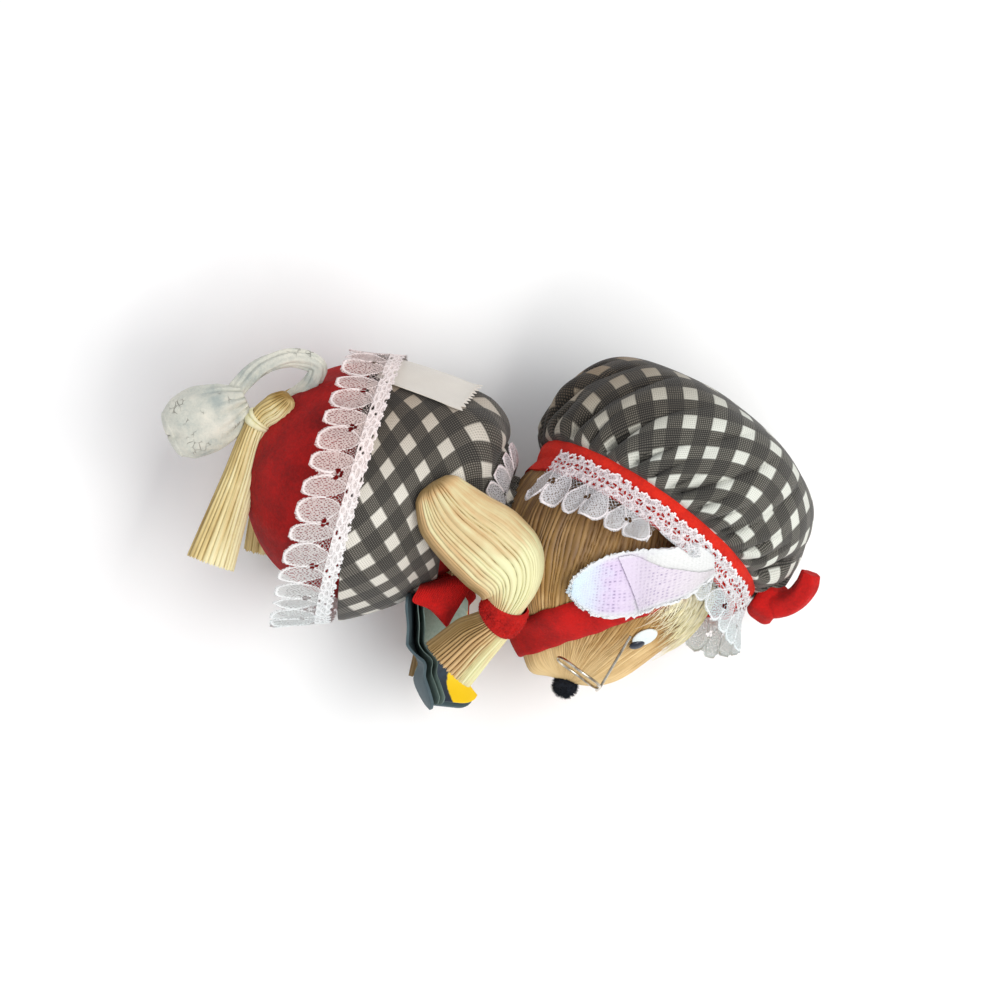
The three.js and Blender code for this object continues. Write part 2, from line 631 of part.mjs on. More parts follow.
function rollForm(grow = 0) {
  const way = new THREE.Vector3(Math.cos(radians(ROLL_TURN)), Math.sin(radians(ROLL_TURN)), 0);
  const along = (share) => ROLL_CENTRE.clone().addScaledVector(way, share * ROLL_LENGTH);
  const stations = [
    { at: along(-0.5), wide: 0.45 * ROLL_WIDTH, deep: 0.4 * ROLL_THICKNESS },
    { at: along(-0.4), wide: 0.85 * ROLL_WIDTH, deep: 0.8 * ROLL_THICKNESS },
    { at: along(-0.1), wide: ROLL_WIDTH, deep: ROLL_THICKNESS },
    { at: along(0.25), wide: 0.85 * ROLL_WIDTH, deep: 0.9 * ROLL_THICKNESS },
    { at: along(0.5), wide: 0.35 * ROLL_WIDTH, deep: 0.45 * ROLL_THICKNESS },
  ];
  return lofted(stations, { rows: 8, sides: 12, grow });
}

// Rooms that the pieces on top leave for those below

const strap = chinStrap();
const strapRoom = headLayer(FELT_THICKNESS + GAP, block(
  STRAP_CENTRE, new THREE.Vector3(STRAP_LENGTH + 2 * GAP, STRAP_WIDTH + 2 * GAP, 2 * HEAD_DEPTH), STRAP_TURN,
));
const hairSolid = cut(hair(), strapRoom, eye(1, 2 * GAP), eye(-1, 2 * GAP), bandSolid(GAP));
const hairRoom = headLayer(HAIR_THICKNESS + 3 * GAP, block(
  HAIR_CENTRE, HAIR_SIZE.clone().addScalar(4 * GAP), HAIR_TURN,
));
const rightFootRoom = footForm(rightFootLine, GAP);
const crownSolid = crown();
const brimSolid = brimLace();
const brimRoom = brimLace(GAP);

// Looks

const look = (color, roughness, metalness = 0) => new THREE.MeshStandardMaterial({ color, roughness, metalness });
const GINGHAM = look(0x5b5853, 0.9);
const RED_FELT = look(0xc0200f, 0.95);
const RED_CLOTH = look(0x9a0c0c, 0.95);
const LACE = look(0xeeeae6, 0.85);
const HUSK = look(0xd8bd84, 0.6);
const WHITE_CLOTH = look(0xdde6ea, 0.9);
const HAIR = look(0xd8d0a0, 0.8);
const POMPOM = look(0x141822, 0.95);
const WIRE = look(0xb8a878, 0.3, 1);
const BLACK = look(0x101010, 0.4);
const PAPER = look(0x465a60, 0.7);

const mouse = new THREE.Group();
function add(name, solid, material) {
  const mesh = new THREE.Mesh(geometryOf(solid), material);
  mesh.name = name;
  mouse.add(mesh);
}

const dressSolid = cut(dressForm(), stuffedBody(GAP), head(GAP));
const bookletSolid = booklet();
const bookletRoom = booklet(GAP);

add("head", head(), HUSK);
add("nose", nose(), POMPOM);
for (const [name, side, earRoot] of [["right", 1, RIGHT_EAR_ROOT], ["left", -1, LEFT_EAR_ROOT]]) {
  add(`${name}_eye`, eye(side), WHITE_CLOTH);
  add(`${name}_pupil`, pupil(side), BLACK);
  add(`${name}_ear`, ear(earRoot, side), WHITE_CLOTH);
}
add("chin_strap", strap, RED_FELT);
add("hair", hairSolid, HAIR);
const eyeRooms = [1, -1].map((side) => eye(side, GAP + EYE_BULGE * PUPIL_RADIUS));
add("spectacles", cut(spectacles(), head(GAP), hairRoom, ...eyeRooms), WIRE);
add("cap_crown", crownSolid, GINGHAM);
add("cap_band", cut(bandSolid(), head(GAP)), RED_FELT);
add("cap_lace", cut(brimSolid, head(GAP)), LACE);
add("cap_bow", bow(), RED_FELT);
add("body", stuffedBody(), RED_CLOTH);
add("dress", dressSolid, GINGHAM);
add("hem_lace", hemLace(), LACE);
add("collar_lace", collarLace(), LACE);
add("label", label(), WHITE_CLOTH);
add("booklet", bookletSolid, PAPER);

const dressRoom = dressForm(GAP);
for (const [name, stations, tieSpan, tieName] of [
  ["right_arm", rightArmLine, [0.635, 0.72], "right_wrist_tie"],
  ["left_arm", leftArmLine, [0.62, 0.76], "left_wrist_ribbon"],
]) {
  const arm = cut(armForm(stations), dressRoom, head(GAP), strapRoom, bookletRoom, belowSurface);
  const tie = cut(tieAround(stations, tieSpan, WRIST_TIE_THICKNESS, 12), armForm(stations, GAP), dressRoom, strapRoom,
    head(GAP), bookletRoom, belowSurface);
  add(name, arm, HUSK);
  add(tieName, tie, RED_FELT);
}

const bodyRoom = stuffedBody(GAP);
for (const [name, stations] of [["right_foot", rightFootLine], ["left_foot", leftFootLine]]) {
  add(name, cut(footForm(stations), bodyRoom), HUSK);
  const tie = tieAround(stations, [0.44, 0.54], ANKLE_TIE_THICKNESS, 10);
  add(`${name}_tie`, cut(tie, footForm(stations, GAP), bodyRoom), HUSK);
}
add("tail", tail(), WHITE_CLOTH);
add("tail_roll", cut(rollForm(), footForm(rightFootLine, 3 * GAP + ANKLE_TIE_THICKNESS)), WHITE_CLOTH);

// The origin is under the middle of the whole mouse, on the surface that it lies on
const bounds = new THREE.Box3().setFromObject(mouse);
const middle = bounds.getCenter(new THREE.Vector3());
mouse.position.set(-middle.x, -middle.y, 0);
mouse.updateMatrixWorld(true);

export default mouse;
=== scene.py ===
# %% [markdown]
# # A corn husk mouse in a gingham dress
#
# A handmade mouse, about 12 cm long, lies on its side. Its head, arms and feet are pleated corn
# husk. Its cap, dress and body are sewn cloth, trimmed with lace and felt. This notebook dresses
# the CAD solids, which come in as a fixed frame, with cloth, husk, lace, wire and paper.

# %% Load the frame
import bpy
import math
import numpy as np
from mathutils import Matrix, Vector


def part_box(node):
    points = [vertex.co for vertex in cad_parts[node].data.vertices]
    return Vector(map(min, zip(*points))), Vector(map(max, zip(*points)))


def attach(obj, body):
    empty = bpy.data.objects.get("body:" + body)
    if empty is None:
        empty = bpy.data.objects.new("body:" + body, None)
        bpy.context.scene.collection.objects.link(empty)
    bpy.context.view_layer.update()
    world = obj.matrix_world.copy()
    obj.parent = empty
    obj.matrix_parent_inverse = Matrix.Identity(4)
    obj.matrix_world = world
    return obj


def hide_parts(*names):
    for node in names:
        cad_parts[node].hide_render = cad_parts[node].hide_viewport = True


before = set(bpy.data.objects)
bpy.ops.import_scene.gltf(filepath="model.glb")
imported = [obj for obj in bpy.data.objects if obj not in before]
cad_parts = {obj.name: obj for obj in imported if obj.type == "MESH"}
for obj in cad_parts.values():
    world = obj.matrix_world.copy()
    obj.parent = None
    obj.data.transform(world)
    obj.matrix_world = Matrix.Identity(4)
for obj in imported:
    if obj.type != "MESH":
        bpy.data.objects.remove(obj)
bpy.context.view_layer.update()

# %% [markdown]
# ## Places
#
# The CAD draws everything in millimetres around the mouse's neck and then moves the whole to the
# middle of its box. The head is a ball whose far side and back are plain numbers, so its box
# tells how far the whole was moved. All shapes below are given in the CAD's millimetres.

# %% From millimetres to the frame
MIDDLE = 27.0
HEAD_CENTRE = np.array([21.5, -4.0, MIDDLE])
HEAD_RADIUS = 21.0
head_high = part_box("head")[1]
SHIFT = np.array([head_high.x * 1000 - HEAD_CENTRE[0] - HEAD_RADIUS,
                  head_high.y * 1000 - HEAD_CENTRE[1] - HEAD_RADIUS, 0.0])

print("drawing moved by", SHIFT.round(2), "mm")


def directions(turn, tip):
    """The directions down, back and up of a piece that is turned in the plane and tipped, in degrees."""
    across, drop = math.radians(turn), math.radians(tip)
    return (np.array([math.cos(across) * math.cos(drop), math.sin(across) * math.cos(drop), -math.sin(drop)]),
            np.array([math.sin(across), -math.cos(across), 0.0]),
            np.array([math.cos(across) * math.sin(drop), math.sin(across) * math.sin(drop), math.cos(drop)]))


NECK = np.array([5.2, 3.0, MIDDLE])
DOWN, BACK, UP = directions(170.5, 2)


def in_body(down, back=0.0, up=0.0):
    """A point given along the body: down to the hem, to the back, and up to the right side."""
    return (NECK + np.multiply.outer(np.asarray(down, float), DOWN)
            + np.multiply.outer(np.asarray(back, float), BACK) + np.multiply.outer(np.asarray(up, float), UP))


# %% [markdown]
# ## Making meshes
#
# Nearly every piece here is a sheet: cloth, felt, lace, paper or husk. So the primitive that
# starts most of them is a flat grid, one unit square. Each vertex is then moved to where the
# pattern says, as a sewer rolls and gathers a cut sheet. The grid keeps its UV map, so a weave
# follows the cloth however it is folded.

# %% Helpers for sheets
def deselect():
    if bpy.context.object and bpy.context.object.mode != "OBJECT":
        bpy.ops.object.mode_set(mode="OBJECT")
    bpy.ops.object.select_all(action="DESELECT")


def edit(piece, *steps):
    """Runs edit-mode steps on the whole mesh of one piece."""
    deselect()
    bpy.context.view_layer.objects.active = piece
    piece.select_set(True)
    bpy.ops.object.mode_set(mode="EDIT")
    bpy.ops.mesh.select_all(action="SELECT")
    for step in steps:
        step()
    bpy.ops.object.mode_set(mode="OBJECT")


def points_of(piece):
    points = np.empty(len(piece.data.vertices) * 3)
    piece.data.vertices.foreach_get("co", points)
    return points.reshape(-1, 3)


def put(piece, points):
    """Moves the vertices to points in the CAD's millimetres."""
    piece.data.vertices.foreach_set("co", ((points + SHIFT) * 0.001).ravel())
    piece.data.update()


def paint_uv(piece, values):
    """Gives each vertex's place on the flat cloth, in millimetres, as the UV map."""
    loops = np.empty(len(piece.data.loops), int)
    piece.data.loops.foreach_get("vertex_index", loops)
    piece.data.uv_layers[0].data.foreach_set("uv", values[loops].ravel())


def mark(piece, name, values):
    """Keeps a value from 0 to 1 for each vertex, which the material reads by its name."""
    layer = piece.data.attributes.new(name, "FLOAT", "POINT")
    layer.data.foreach_set("value", np.asarray(values, np.float32))


def weld(piece, close_ends=False):
    steps = [lambda: bpy.ops.mesh.remove_doubles(threshold=0.000004)]
    if close_ends:
        steps += [lambda: bpy.ops.mesh.fill_holes(sides=0),
                  lambda: bpy.ops.mesh.normals_make_consistent(inside=False)]
    edit(piece, *steps)


def apply_modifiers(piece):
    deselect()
    bpy.context.view_layer.objects.active = piece
    piece.select_set(True)
    for modifier in list(piece.modifiers):
        bpy.ops.object.modifier_apply(modifier=modifier.name)


def thicken(piece, thickness, offset=-1.0):
    """Gives a sheet its thickness in millimetres, inwards from its face."""
    solid = piece.modifiers.new("thickness", "SOLIDIFY")
    solid.thickness, solid.offset = thickness * 0.001, offset
    apply_modifiers(piece)


def sheet_grid(title, across, along, shape, uv=None, closed=False, flip=False, marks=()):
    """A grid of across by along cells, whose corner (u, v) goes to shape(u, v)."""
    deselect()
    bpy.ops.mesh.primitive_grid_add(x_subdivisions=across, y_subdivisions=along, size=1, location=(0, 0, 0))
    piece = bpy.context.object
    piece.name = piece.data.name = title
    u, v = (points_of(piece)[:, :2] + 0.5).T
    put(piece, shape(u, v))
    if uv is not None:
        paint_uv(piece, np.column_stack(uv(u, v)))
    for name, value in dict(marks).items():
        mark(piece, name, value(u, v))
    if flip:
        edit(piece, bpy.ops.mesh.flip_normals)
    if closed:
        weld(piece)
    return piece


# %% [markdown]
# A stuffed sleeve, a dress or a tail is an oval tube. It is given by stations along its middle
# line, each with a width and a depth, and a smooth line runs through them, as in the CAD.

# %% Helpers for tubes
def smooth_line(values, t):
    """The smooth line through values, at shares t of its length in stations."""
    values = np.asarray(values, float)
    last = len(values) - 1
    place = np.clip(t, 0, 1) * last
    i = np.minimum(place.astype(int), last - 1)
    w = (place - i)[:, None]
    ext = np.vstack([2 * values[0] - values[1], values, 2 * values[-1] - values[-2]])
    a, b, c, d = ext[i], ext[i + 1], ext[i + 2], ext[i + 3]
    gap = lambda p, q: np.sum((p - q) ** 2, axis=1, keepdims=True) ** 0.25
    ab, bc, cd = gap(a, b), gap(b, c), gap(c, d)
    bc = np.where(bc < 1e-4, 1, bc)
    ab, cd = np.where(ab < 1e-4, bc, ab), np.where(cd < 1e-4, bc, cd)
    start = bc * ((b - a) / ab - (c - a) / (ab + bc) + (c - b) / bc)
    end = bc * ((c - b) / bc - (d - b) / (bc + cd) + (d - c) / cd)
    return b + start * w + (3 * (c - b) - 2 * start - end) * w ** 2 + (2 * (b - c) + start + end) * w ** 3


def unit(v):
    return v / np.maximum(np.linalg.norm(v, axis=-1, keepdims=True), 1e-9)


def tube_points(stations, t, angle, grow=0.0, swell=1.0, late=0.0):
    """Points on an oval tube. A station is (place, width, depth, slant in degrees). A late tube
    turns a little after its line does, so that a wide one doesn't fold over in a sharp bend."""
    spine = [s[0] for s in stations]
    girth = smooth_line([[s[1] / 2, s[2] / 2, (list(s) + [0])[3]] for s in stations], t)
    reach = 1e-4 + 0.8 * late
    ahead = unit(smooth_line(spine, np.clip(t - late + reach, 0, 1))
                 - smooth_line(spine, np.clip(t - late - reach, 0, 1)))
    side = unit(np.cross([0, 0, 1.0], ahead))
    slant = np.radians(girth[:, 2])[:, None]
    side = np.hstack([side[:, :1] * np.cos(slant) - side[:, 1:2] * np.sin(slant),
                      side[:, :1] * np.sin(slant) + side[:, 1:2] * np.cos(slant), side[:, 2:]])
    over = unit(np.cross(ahead, side))
    wide = (girth[:, 0] * swell + grow) * np.cos(angle)
    high = (girth[:, 1] * swell + grow) * np.sin(angle)
    return smooth_line(spine, t) + side * wide[:, None] + over * high[:, None]


def eased(points, height, ease=0.7):
    """Cloth that reaches the surface spreads on it and doesn't pass through it."""
    points = points.copy()
    points[:, 2] = height + ease * np.logaddexp(0, (points[:, 2] - height) / ease)
    return points


def ripple(t, waves, seed, sharp=1.0):
    """An uneven row of rounded folds around a closed edge: 0 in the creases and 1 on the folds."""
    widths = 0.55 + np.random.default_rng(seed).random(waves)
    edges = np.concatenate([[0], np.cumsum(widths)]) / widths.sum()
    place = np.mod(t, 1.0)
    i = np.clip(np.searchsorted(edges, place, side="right") - 1, 0, waves - 1)
    share = (place - edges[i]) / (edges[i + 1] - edges[i])
    return np.sin(math.pi * np.clip(share, 0, 1)) ** sharp


# %% [markdown]
# ## Materials
#
# Three effects are shared. The weave gives threads to every cloth, the streaks give husk and
# hair their fine lines, and the mottle varies a colour as hand-dyed and aged cloth does. Each is
# a node group, so it is built once and each material sets its own scale.

# %% Node helpers
def node_tree(name):
    return bpy.data.node_groups.new(name, "ShaderNodeTree")


def socket(group, name, way, kind="NodeSocketFloat", value=None):
    made = group.interface.new_socket(name=name, in_out=way, socket_type=kind)
    if value is not None:
        made.default_value = value
    return made


class Nodes:
    """Adds nodes to a tree and links them, with plain values or sockets as inputs."""

    def __init__(self, tree):
        self.tree = tree

    def add(self, kind, inputs=(), **settings):
        node = self.tree.nodes.new("ShaderNode" + kind)
        for key, value in settings.items():
            setattr(node, key, value)
        for key, value in dict(inputs).items():
            if isinstance(value, bpy.types.NodeSocket):
                self.tree.links.new(value, node.inputs[key])
            else:
                node.inputs[key].default_value = value
        return node

    def math(self, operation, a, b=0.0, clamp=False):
        return self.add("Math", {0: a, 1: b}, operation=operation, use_clamp=clamp).outputs[0]

    def mix(self, share, a, b, blend="MIX"):
        node = self.add("Mix", {"Factor": share}, data_type="RGBA", blend_type=blend)
        for key, value in ((6, a), (7, b)):
            if isinstance(value, bpy.types.NodeSocket):
                self.tree.links.new(value, node.inputs[key])
            else:
                node.inputs[key].default_value = (*value, 1) if len(value) == 3 else value
        return node.outputs[2]

    def ramp(self, value, stops):
        node = self.add("ValToRGB", {0: value})
        ramp = node.color_ramp
        while len(ramp.elements) < len(stops):
            ramp.elements.new(0.5)
        for element, (at, colour) in zip(ramp.elements, stops):
            element.position, element.color = at, (*colour, 1)
        return node.outputs[0]

    def noise(self, vector, scale, detail=3.0, rough=0.6):
        inputs = {"Vector": vector, "Scale": scale, "Detail": detail, "Roughness": rough}
        return self.add("TexNoise", inputs).outputs[0]

    def use(self, group, inputs):
        node = self.tree.nodes.new("ShaderNodeGroup")
        node.node_tree = group
        for key, value in inputs.items():
            if isinstance(value, bpy.types.NodeSocket):
                self.tree.links.new(value, node.inputs[key])
            else:
                node.inputs[key].default_value = value
        return node.outputs


def srgb(code):
    """A colour from its hex code, as the shader's linear values."""
    parts = [int(code[i:i + 2], 16) / 255 for i in (0, 2, 4)]
    return tuple(c / 12.92 if c <= 0.04045 else ((c + 0.055) / 1.055) ** 2.4 for c in parts)


# %% The shared groups
def make_weave():
    """Over-and-under threads: height, and how open the weave is between them."""
    group = node_tree("Weave")
    socket(group, "Vector", "INPUT", "NodeSocketVector")
    socket(group, "Thread", "INPUT", value=0.3)
    for name in ("Height", "Open"):
        socket(group, name, "OUTPUT")
    n = Nodes(group)
    given, out = group.nodes.new("NodeGroupInput"), group.nodes.new("NodeGroupOutput")
    parts = n.add("SeparateXYZ", {0: given.outputs["Vector"]})
    waves = []
    for axis in ("X", "Y"):
        turns = n.math("DIVIDE", parts.outputs[axis], given.outputs["Thread"])
        waves.append(n.math("ABSOLUTE", n.math("SINE", n.math("MULTIPLY", turns, math.pi))))
        waves.append(n.math("SINE", n.math("MULTIPLY", turns, math.pi)))
    cross = n.math("MULTIPLY", waves[1], waves[3])
    height = n.math("ADD", n.math("MAXIMUM", waves[0], waves[2]), n.math("MULTIPLY", cross, 0.35))
    group.links.new(height, out.inputs["Height"])
    gap = n.math("MAXIMUM", waves[0], waves[2])
    group.links.new(n.math("SUBTRACT", 1.0, gap, clamp=True), out.inputs["Open"])
    return group


def make_streaks():
    """Long fine lines along one direction of the map, as in a leaf or a lock of hair."""
    group = node_tree("Streaks")
    socket(group, "Vector", "INPUT", "NodeSocketVector")
    socket(group, "Fineness", "INPUT", value=6.0)
    socket(group, "Length", "INPUT", value=0.12)
    for name in ("Line", "Tone"):
        socket(group, name, "OUTPUT")
    n = Nodes(group)
    given, out = group.nodes.new("NodeGroupInput"), group.nodes.new("NodeGroupOutput")
    parts = n.add("SeparateXYZ", {0: given.outputs["Vector"]})
    across = n.math("MULTIPLY", parts.outputs["X"], given.outputs["Fineness"])
    along = n.math("MULTIPLY", parts.outputs["Y"], given.outputs["Length"])
    fine = n.add("CombineXYZ", {0: across, 1: along, 2: parts.outputs["Z"]}).outputs[0]
    group.links.new(n.noise(fine, 1.0, 3.0, 0.65), out.inputs["Line"])
    wide = n.add("CombineXYZ", {0: n.math("MULTIPLY", across, 0.16), 1: n.math("MULTIPLY", along, 0.9),
                                2: parts.outputs["Z"]}).outputs[0]
    group.links.new(n.noise(wide, 1.0, 2.0, 0.5), out.inputs["Tone"])
    return group


def make_mottle():
    """Soft patches and small specks of wear."""
    group = node_tree("Mottle")
    socket(group, "Vector", "INPUT", "NodeSocketVector")
    socket(group, "Size", "INPUT", value=6.0)
    for name in ("Patch", "Speck"):
        socket(group, name, "OUTPUT")
    n = Nodes(group)
    given, out = group.nodes.new("NodeGroupInput"), group.nodes.new("NodeGroupOutput")
    scale = n.math("DIVIDE", 1000.0, given.outputs["Size"])
    group.links.new(n.noise(given.outputs["Vector"], scale, 4.0), out.inputs["Patch"])
    fine = n.noise(given.outputs["Vector"], n.math("MULTIPLY", scale, 9.0), 4.0, 0.8)
    group.links.new(fine, out.inputs["Speck"])
    return group


WEAVE, STREAKS, MOTTLE = make_weave(), make_streaks(), make_mottle()


def material(name, rough=0.9, **shader):
    """A new material with its Principled shader and a helper that adds nodes to it."""
    made = bpy.data.materials.new(name)
    made.use_nodes = True
    principled = made.node_tree.nodes["Principled BSDF"]
    principled.inputs["Roughness"].default_value = rough
    for key, value in shader.items():
        principled.inputs[key.replace("_", " ")].default_value = value
    return made, Nodes(made.node_tree), principled


def bump(n, principled, height, distance, strength=1.0):
    """A bump of that many millimetres from a height of 0 to 1."""
    node = n.add("Bump", {"Height": height, "Distance": distance * 0.001, "Strength": strength})
    n.tree.links.new(node.outputs[0], principled.inputs["Normal"])


def colour(n, principled, value, name="Base Color"):
    n.tree.links.new(value, principled.inputs[name])


def object_place(n):
    return n.add("TexCoord").outputs["Object"]


def cloth_place(n):
    return n.add("UVMap").outputs[0]


print("node groups:", [g.name for g in bpy.data.node_groups])

# %% [markdown]
# The gingham is a light cotton whose check repeats every quarter of an inch. Where two dark bars
# cross it is darkest, where one dark and one light meet it is a shade lighter, and the weave is
# open enough to show small light dots. The map is drawn out of shape, so on the pieces a repeat
# measures 5 to 8 mm.

# %% Gingham
CHECK = 6.35


def make_gingham(name, dark="1b1916", bar="312e28", light="ece8de"):
    made, n, principled = material(name, 0.92, Sheen_Weight=0.1, Sheen_Roughness=0.5)
    flat = cloth_place(n)
    parts = n.add("SeparateXYZ", {0: flat})
    bars = []
    for axis in ("X", "Y"):
        share = n.math("FRACT", n.math("DIVIDE", parts.outputs[axis], CHECK))
        edge = n.math("SUBTRACT", n.math("ABSOLUTE", n.math("SUBTRACT", share, 0.5)), 0.225)
        bars.append(n.math("ADD", n.math("MULTIPLY", edge, 22.0), 0.5, clamp=True))
    both = n.math("MULTIPLY", bars[0], bars[1])
    either = n.math("MAXIMUM", bars[0], bars[1])
    patch = n.use(MOTTLE, {"Vector": object_place(n), "Size": 9.0})
    base = n.mix(both, n.mix(either, srgb(light), srgb(bar)), srgb(dark))
    weave = n.use(WEAVE, {"Vector": flat, "Thread": 0.42})
    dot = n.math("MULTIPLY", weave["Open"], 1.5, clamp=True)
    showing = n.math("SUBTRACT", n.math("MULTIPLY", either, 0.72), n.math("MULTIPLY", both, 0.3))
    on_dark = n.mix(n.math("MULTIPLY", dot, showing), base, srgb("b0aa9f"))
    on_light = n.math("MULTIPLY", dot, n.math("MULTIPLY", n.math("SUBTRACT", 1.0, either), 0.55))
    dotted = n.mix(on_light, on_dark, srgb("7d7669"))
    # The age mark browns and darkens the check: browned cotton, and painted shade on the side away from the
    # light.
    age_and_shade = n.add("Attribute", attribute_name="Age_and_shade").outputs["Fac"]
    browned_and_shaded = n.mix(n.math("MULTIPLY", age_and_shade, 0.95, clamp=True), dotted, srgb("94734f"), "MULTIPLY")
    mottled = n.mix(n.math("MULTIPLY", patch["Patch"], 0.25), browned_and_shaded, srgb("8a8378"), "MULTIPLY")
    # Painted shade: the creases of the folds are darkened nearly to black.
    fold = n.add("Attribute", attribute_name="Crease_shade").outputs["Fac"]
    colour(n, principled, n.mix(n.math("MULTIPLY", fold, 0.85, clamp=True), mottled, srgb("15120e")))
    bump(n, principled, weave["Height"], 0.12, 0.6)
    return made


cap_gingham = make_gingham("Cap gingham", "121311", "242620", "e6e9e0")
dress_gingham = make_gingham("Dress gingham")

# %% [markdown]
# Felt, plush and pompom wool scatter light on fine upright fibres. Sheen does that, and a fine
# noise in the bump keeps the surface from looking like plastic.

# %% Red cloths and wool
def make_fuzzy(name, deep, bright, fibre=0.5, depth=0.25, sheen=0.6, size=5.0):
    made, n, principled = material(name, 0.95, Sheen_Weight=sheen, Sheen_Roughness=0.4)
    principled.inputs["Sheen Tint"].default_value = (*srgb(bright), 1)
    patch = n.use(MOTTLE, {"Vector": object_place(n), "Size": size})
    fuzz = n.noise(object_place(n), 1000.0 / fibre, 4.0, 0.75)
    tone = n.math("ADD", n.math("MULTIPLY", patch["Patch"], 0.7), n.math("MULTIPLY", fuzz, 0.5))
    colour(n, principled, n.ramp(tone, [(0.38, srgb(deep)), (0.72, srgb(bright))]))
    bump(n, principled, n.math("ADD", fuzz, n.math("MULTIPLY", patch["Speck"], 0.6)), depth, 0.8)
    return made


red_felt = make_fuzzy("Red felt", "b00e03", "dd2409", 0.5, 0.22, 0.12)
strap_felt = make_fuzzy("Deep red felt", "8c0201", "c80702", 0.5, 0.2, 0.06)
red_plush = make_fuzzy("Red plush", "6c0000", "b40301", 0.8, 0.3, 0.03, 7.0)
chenille = make_fuzzy("Red chenille", "980402", "d41408", 0.35, 0.35, 0.15, 2.5)
pompom_wool = make_fuzzy("Pompom wool", "05070b", "1d2430", 0.3, 0.3, 0.15, 2.0)

# %% [markdown]
# Corn husk is a dry leaf: straw-coloured, with fine ribs along it, a satin face, and a darker tan where it is
# older. The streaks run along the UV map's second direction. Dust and painted shade darken the pleats, so the
# mesh keeps how deep each point lies in its fold, and the material darkens the creases by it. A second mark
# tints the parts of a piece that have aged more, and paints shade and light on the sides turned from and to
# the light.

# %% Husk and hair
# The crease colour is the painted shade in the pleats.
def make_husk(name, deep, mid, pale, crease="6d4a22", fineness=5.0, rough=0.5, streak=1.0):
    made, n, principled = material(name, rough, Coat_Weight=0.08, Coat_Roughness=0.45)
    lines = n.use(STREAKS, {"Vector": cloth_place(n), "Fineness": fineness, "Length": 0.1})
    patch = n.use(MOTTLE, {"Vector": object_place(n), "Size": 11.0})
    # The age mark darkens and lightens the husk: older husk, and painted shade and light by how each part is
    # turned to the light.
    age_and_shade = n.add("Attribute", attribute_name="Age_and_shade").outputs["Fac"]
    tone = n.math("ADD", n.math("MULTIPLY", n.math("SUBTRACT", lines["Tone"], 0.5), 0.75 * streak),
                  n.math("MULTIPLY", n.math("SUBTRACT", lines["Line"], 0.5), 0.4 * streak))
    tone = n.math("ADD", tone, n.math("MULTIPLY", n.math("SUBTRACT", patch["Patch"], 0.5), 0.4))
    tone = n.math("SUBTRACT", n.math("ADD", tone, 0.58), n.math("MULTIPLY", age_and_shade, 0.4))
    face = n.ramp(tone, [(0.25, srgb(deep)), (0.52, srgb(mid)), (0.72, srgb(pale))])
    # Painted shade: the creases of the pleats take the dark crease colour.
    fold = n.add("Attribute", attribute_name="Crease_shade").outputs["Fac"]
    colour(n, principled, n.mix(n.math("MULTIPLY", fold, 0.85, clamp=True), face, srgb(crease)))
    colour(n, principled, n.math("ADD", n.math("MULTIPLY", lines["Line"], 0.3), rough - 0.1), "Roughness")
    relief = n.math("ADD", lines["Line"], n.math("MULTIPLY", lines["Tone"], 0.5))
    bump(n, principled, relief, 0.18, 0.6 * streak)
    return made


sleeve_husk = make_husk("Sleeve husk", "957848", "d0ad7a", "e3e0b0", "583a19", streak=0.5)
foot_husk = make_husk("Foot husk", "9a7838", "dcc587", "f4eabb", "5d4420", streak=0.8)
head_husk = make_husk("Head husk", "6f4f29", "b38c51", "e5c790", "5e3f1e", streak=0.55)
hair_strand = make_husk("Hair", "d2c890", "eae3bd", "faf7e2", "b5a870", 3.0)

# %% [markdown]
# ## The head's surface
#
# Several pieces lie on the head: the felt band, the lace, the strap, the eyes and the hair. So
# its surface comes first, as a formula: an oval ball with a blunt snout.

# %% The head's surface
SNOUT_TURN, SNOUT_SPREAD, SNOUT_RISE, SNOUT_REACH = -108, 33, 17, 4.7
HEAD_DEPTH = 40.0
NOSE_TURN = -107


def head_points(way, grow=0.0):
    """The point of the head's surface in each direction from its centre."""
    turn = np.arctan2(way[:, 1], way[:, 0]) - math.radians(SNOUT_TURN)
    aside = np.abs(np.arctan2(np.sin(turn), np.cos(turn))) / math.radians(SNOUT_SPREAD)
    height = np.arcsin(np.clip(way[:, 2], -1, 1)) / math.radians(SNOUT_RISE)
    snout = SNOUT_REACH * np.exp(-aside ** 3 - height ** 2)
    corner = np.arctan2(way[:, 1], way[:, 0]) + math.radians(122)
    snout = snout + 1.4 * np.exp(-(corner / math.radians(5.5)) ** 2 - height ** 2)
    across = (HEAD_RADIUS + snout + grow)[:, None]
    deep = (HEAD_DEPTH / 2 + snout + grow)[:, None]
    return HEAD_CENTRE + np.hstack([way[:, :2] * across, way[:, 2:] * deep])


def way_of(turn, rise):
    turn, rise = np.radians(turn), np.radians(rise)
    return np.column_stack(np.broadcast_arrays(np.cos(turn) * np.cos(rise), np.sin(turn) * np.cos(rise),
                                               np.sin(rise)))


def clear_of_head(points, gap):
    """Pushes points out to at least that gap from the head."""
    out = points - HEAD_CENTRE
    surface = head_points(unit(out / np.array([HEAD_RADIUS, HEAD_RADIUS, HEAD_DEPTH / 2])), gap) - HEAD_CENTRE
    push = np.maximum(np.linalg.norm(surface, axis=1) / np.linalg.norm(out, axis=1), 1)
    return HEAD_CENTRE + out * push[:, None]


# %% [markdown]
# ## Cap
#
# The cap is a round of gingham, stuffed and gathered into a felt band. Cloth that is gathered
# folds deeply at the stitches, and the folds run out over the crown. So the crown is a turned
# profile with two rows of uneven folds, short ones and long ones. Its UV map is the flat round
# that it was cut from. The map is bent a little, with numbers that were fitted by least squares
# to the places of 28 light squares in the photograph. On the folded crown they end up a third of
# a repeat from those places on average, and the worst one lies 0.7 of a repeat off.

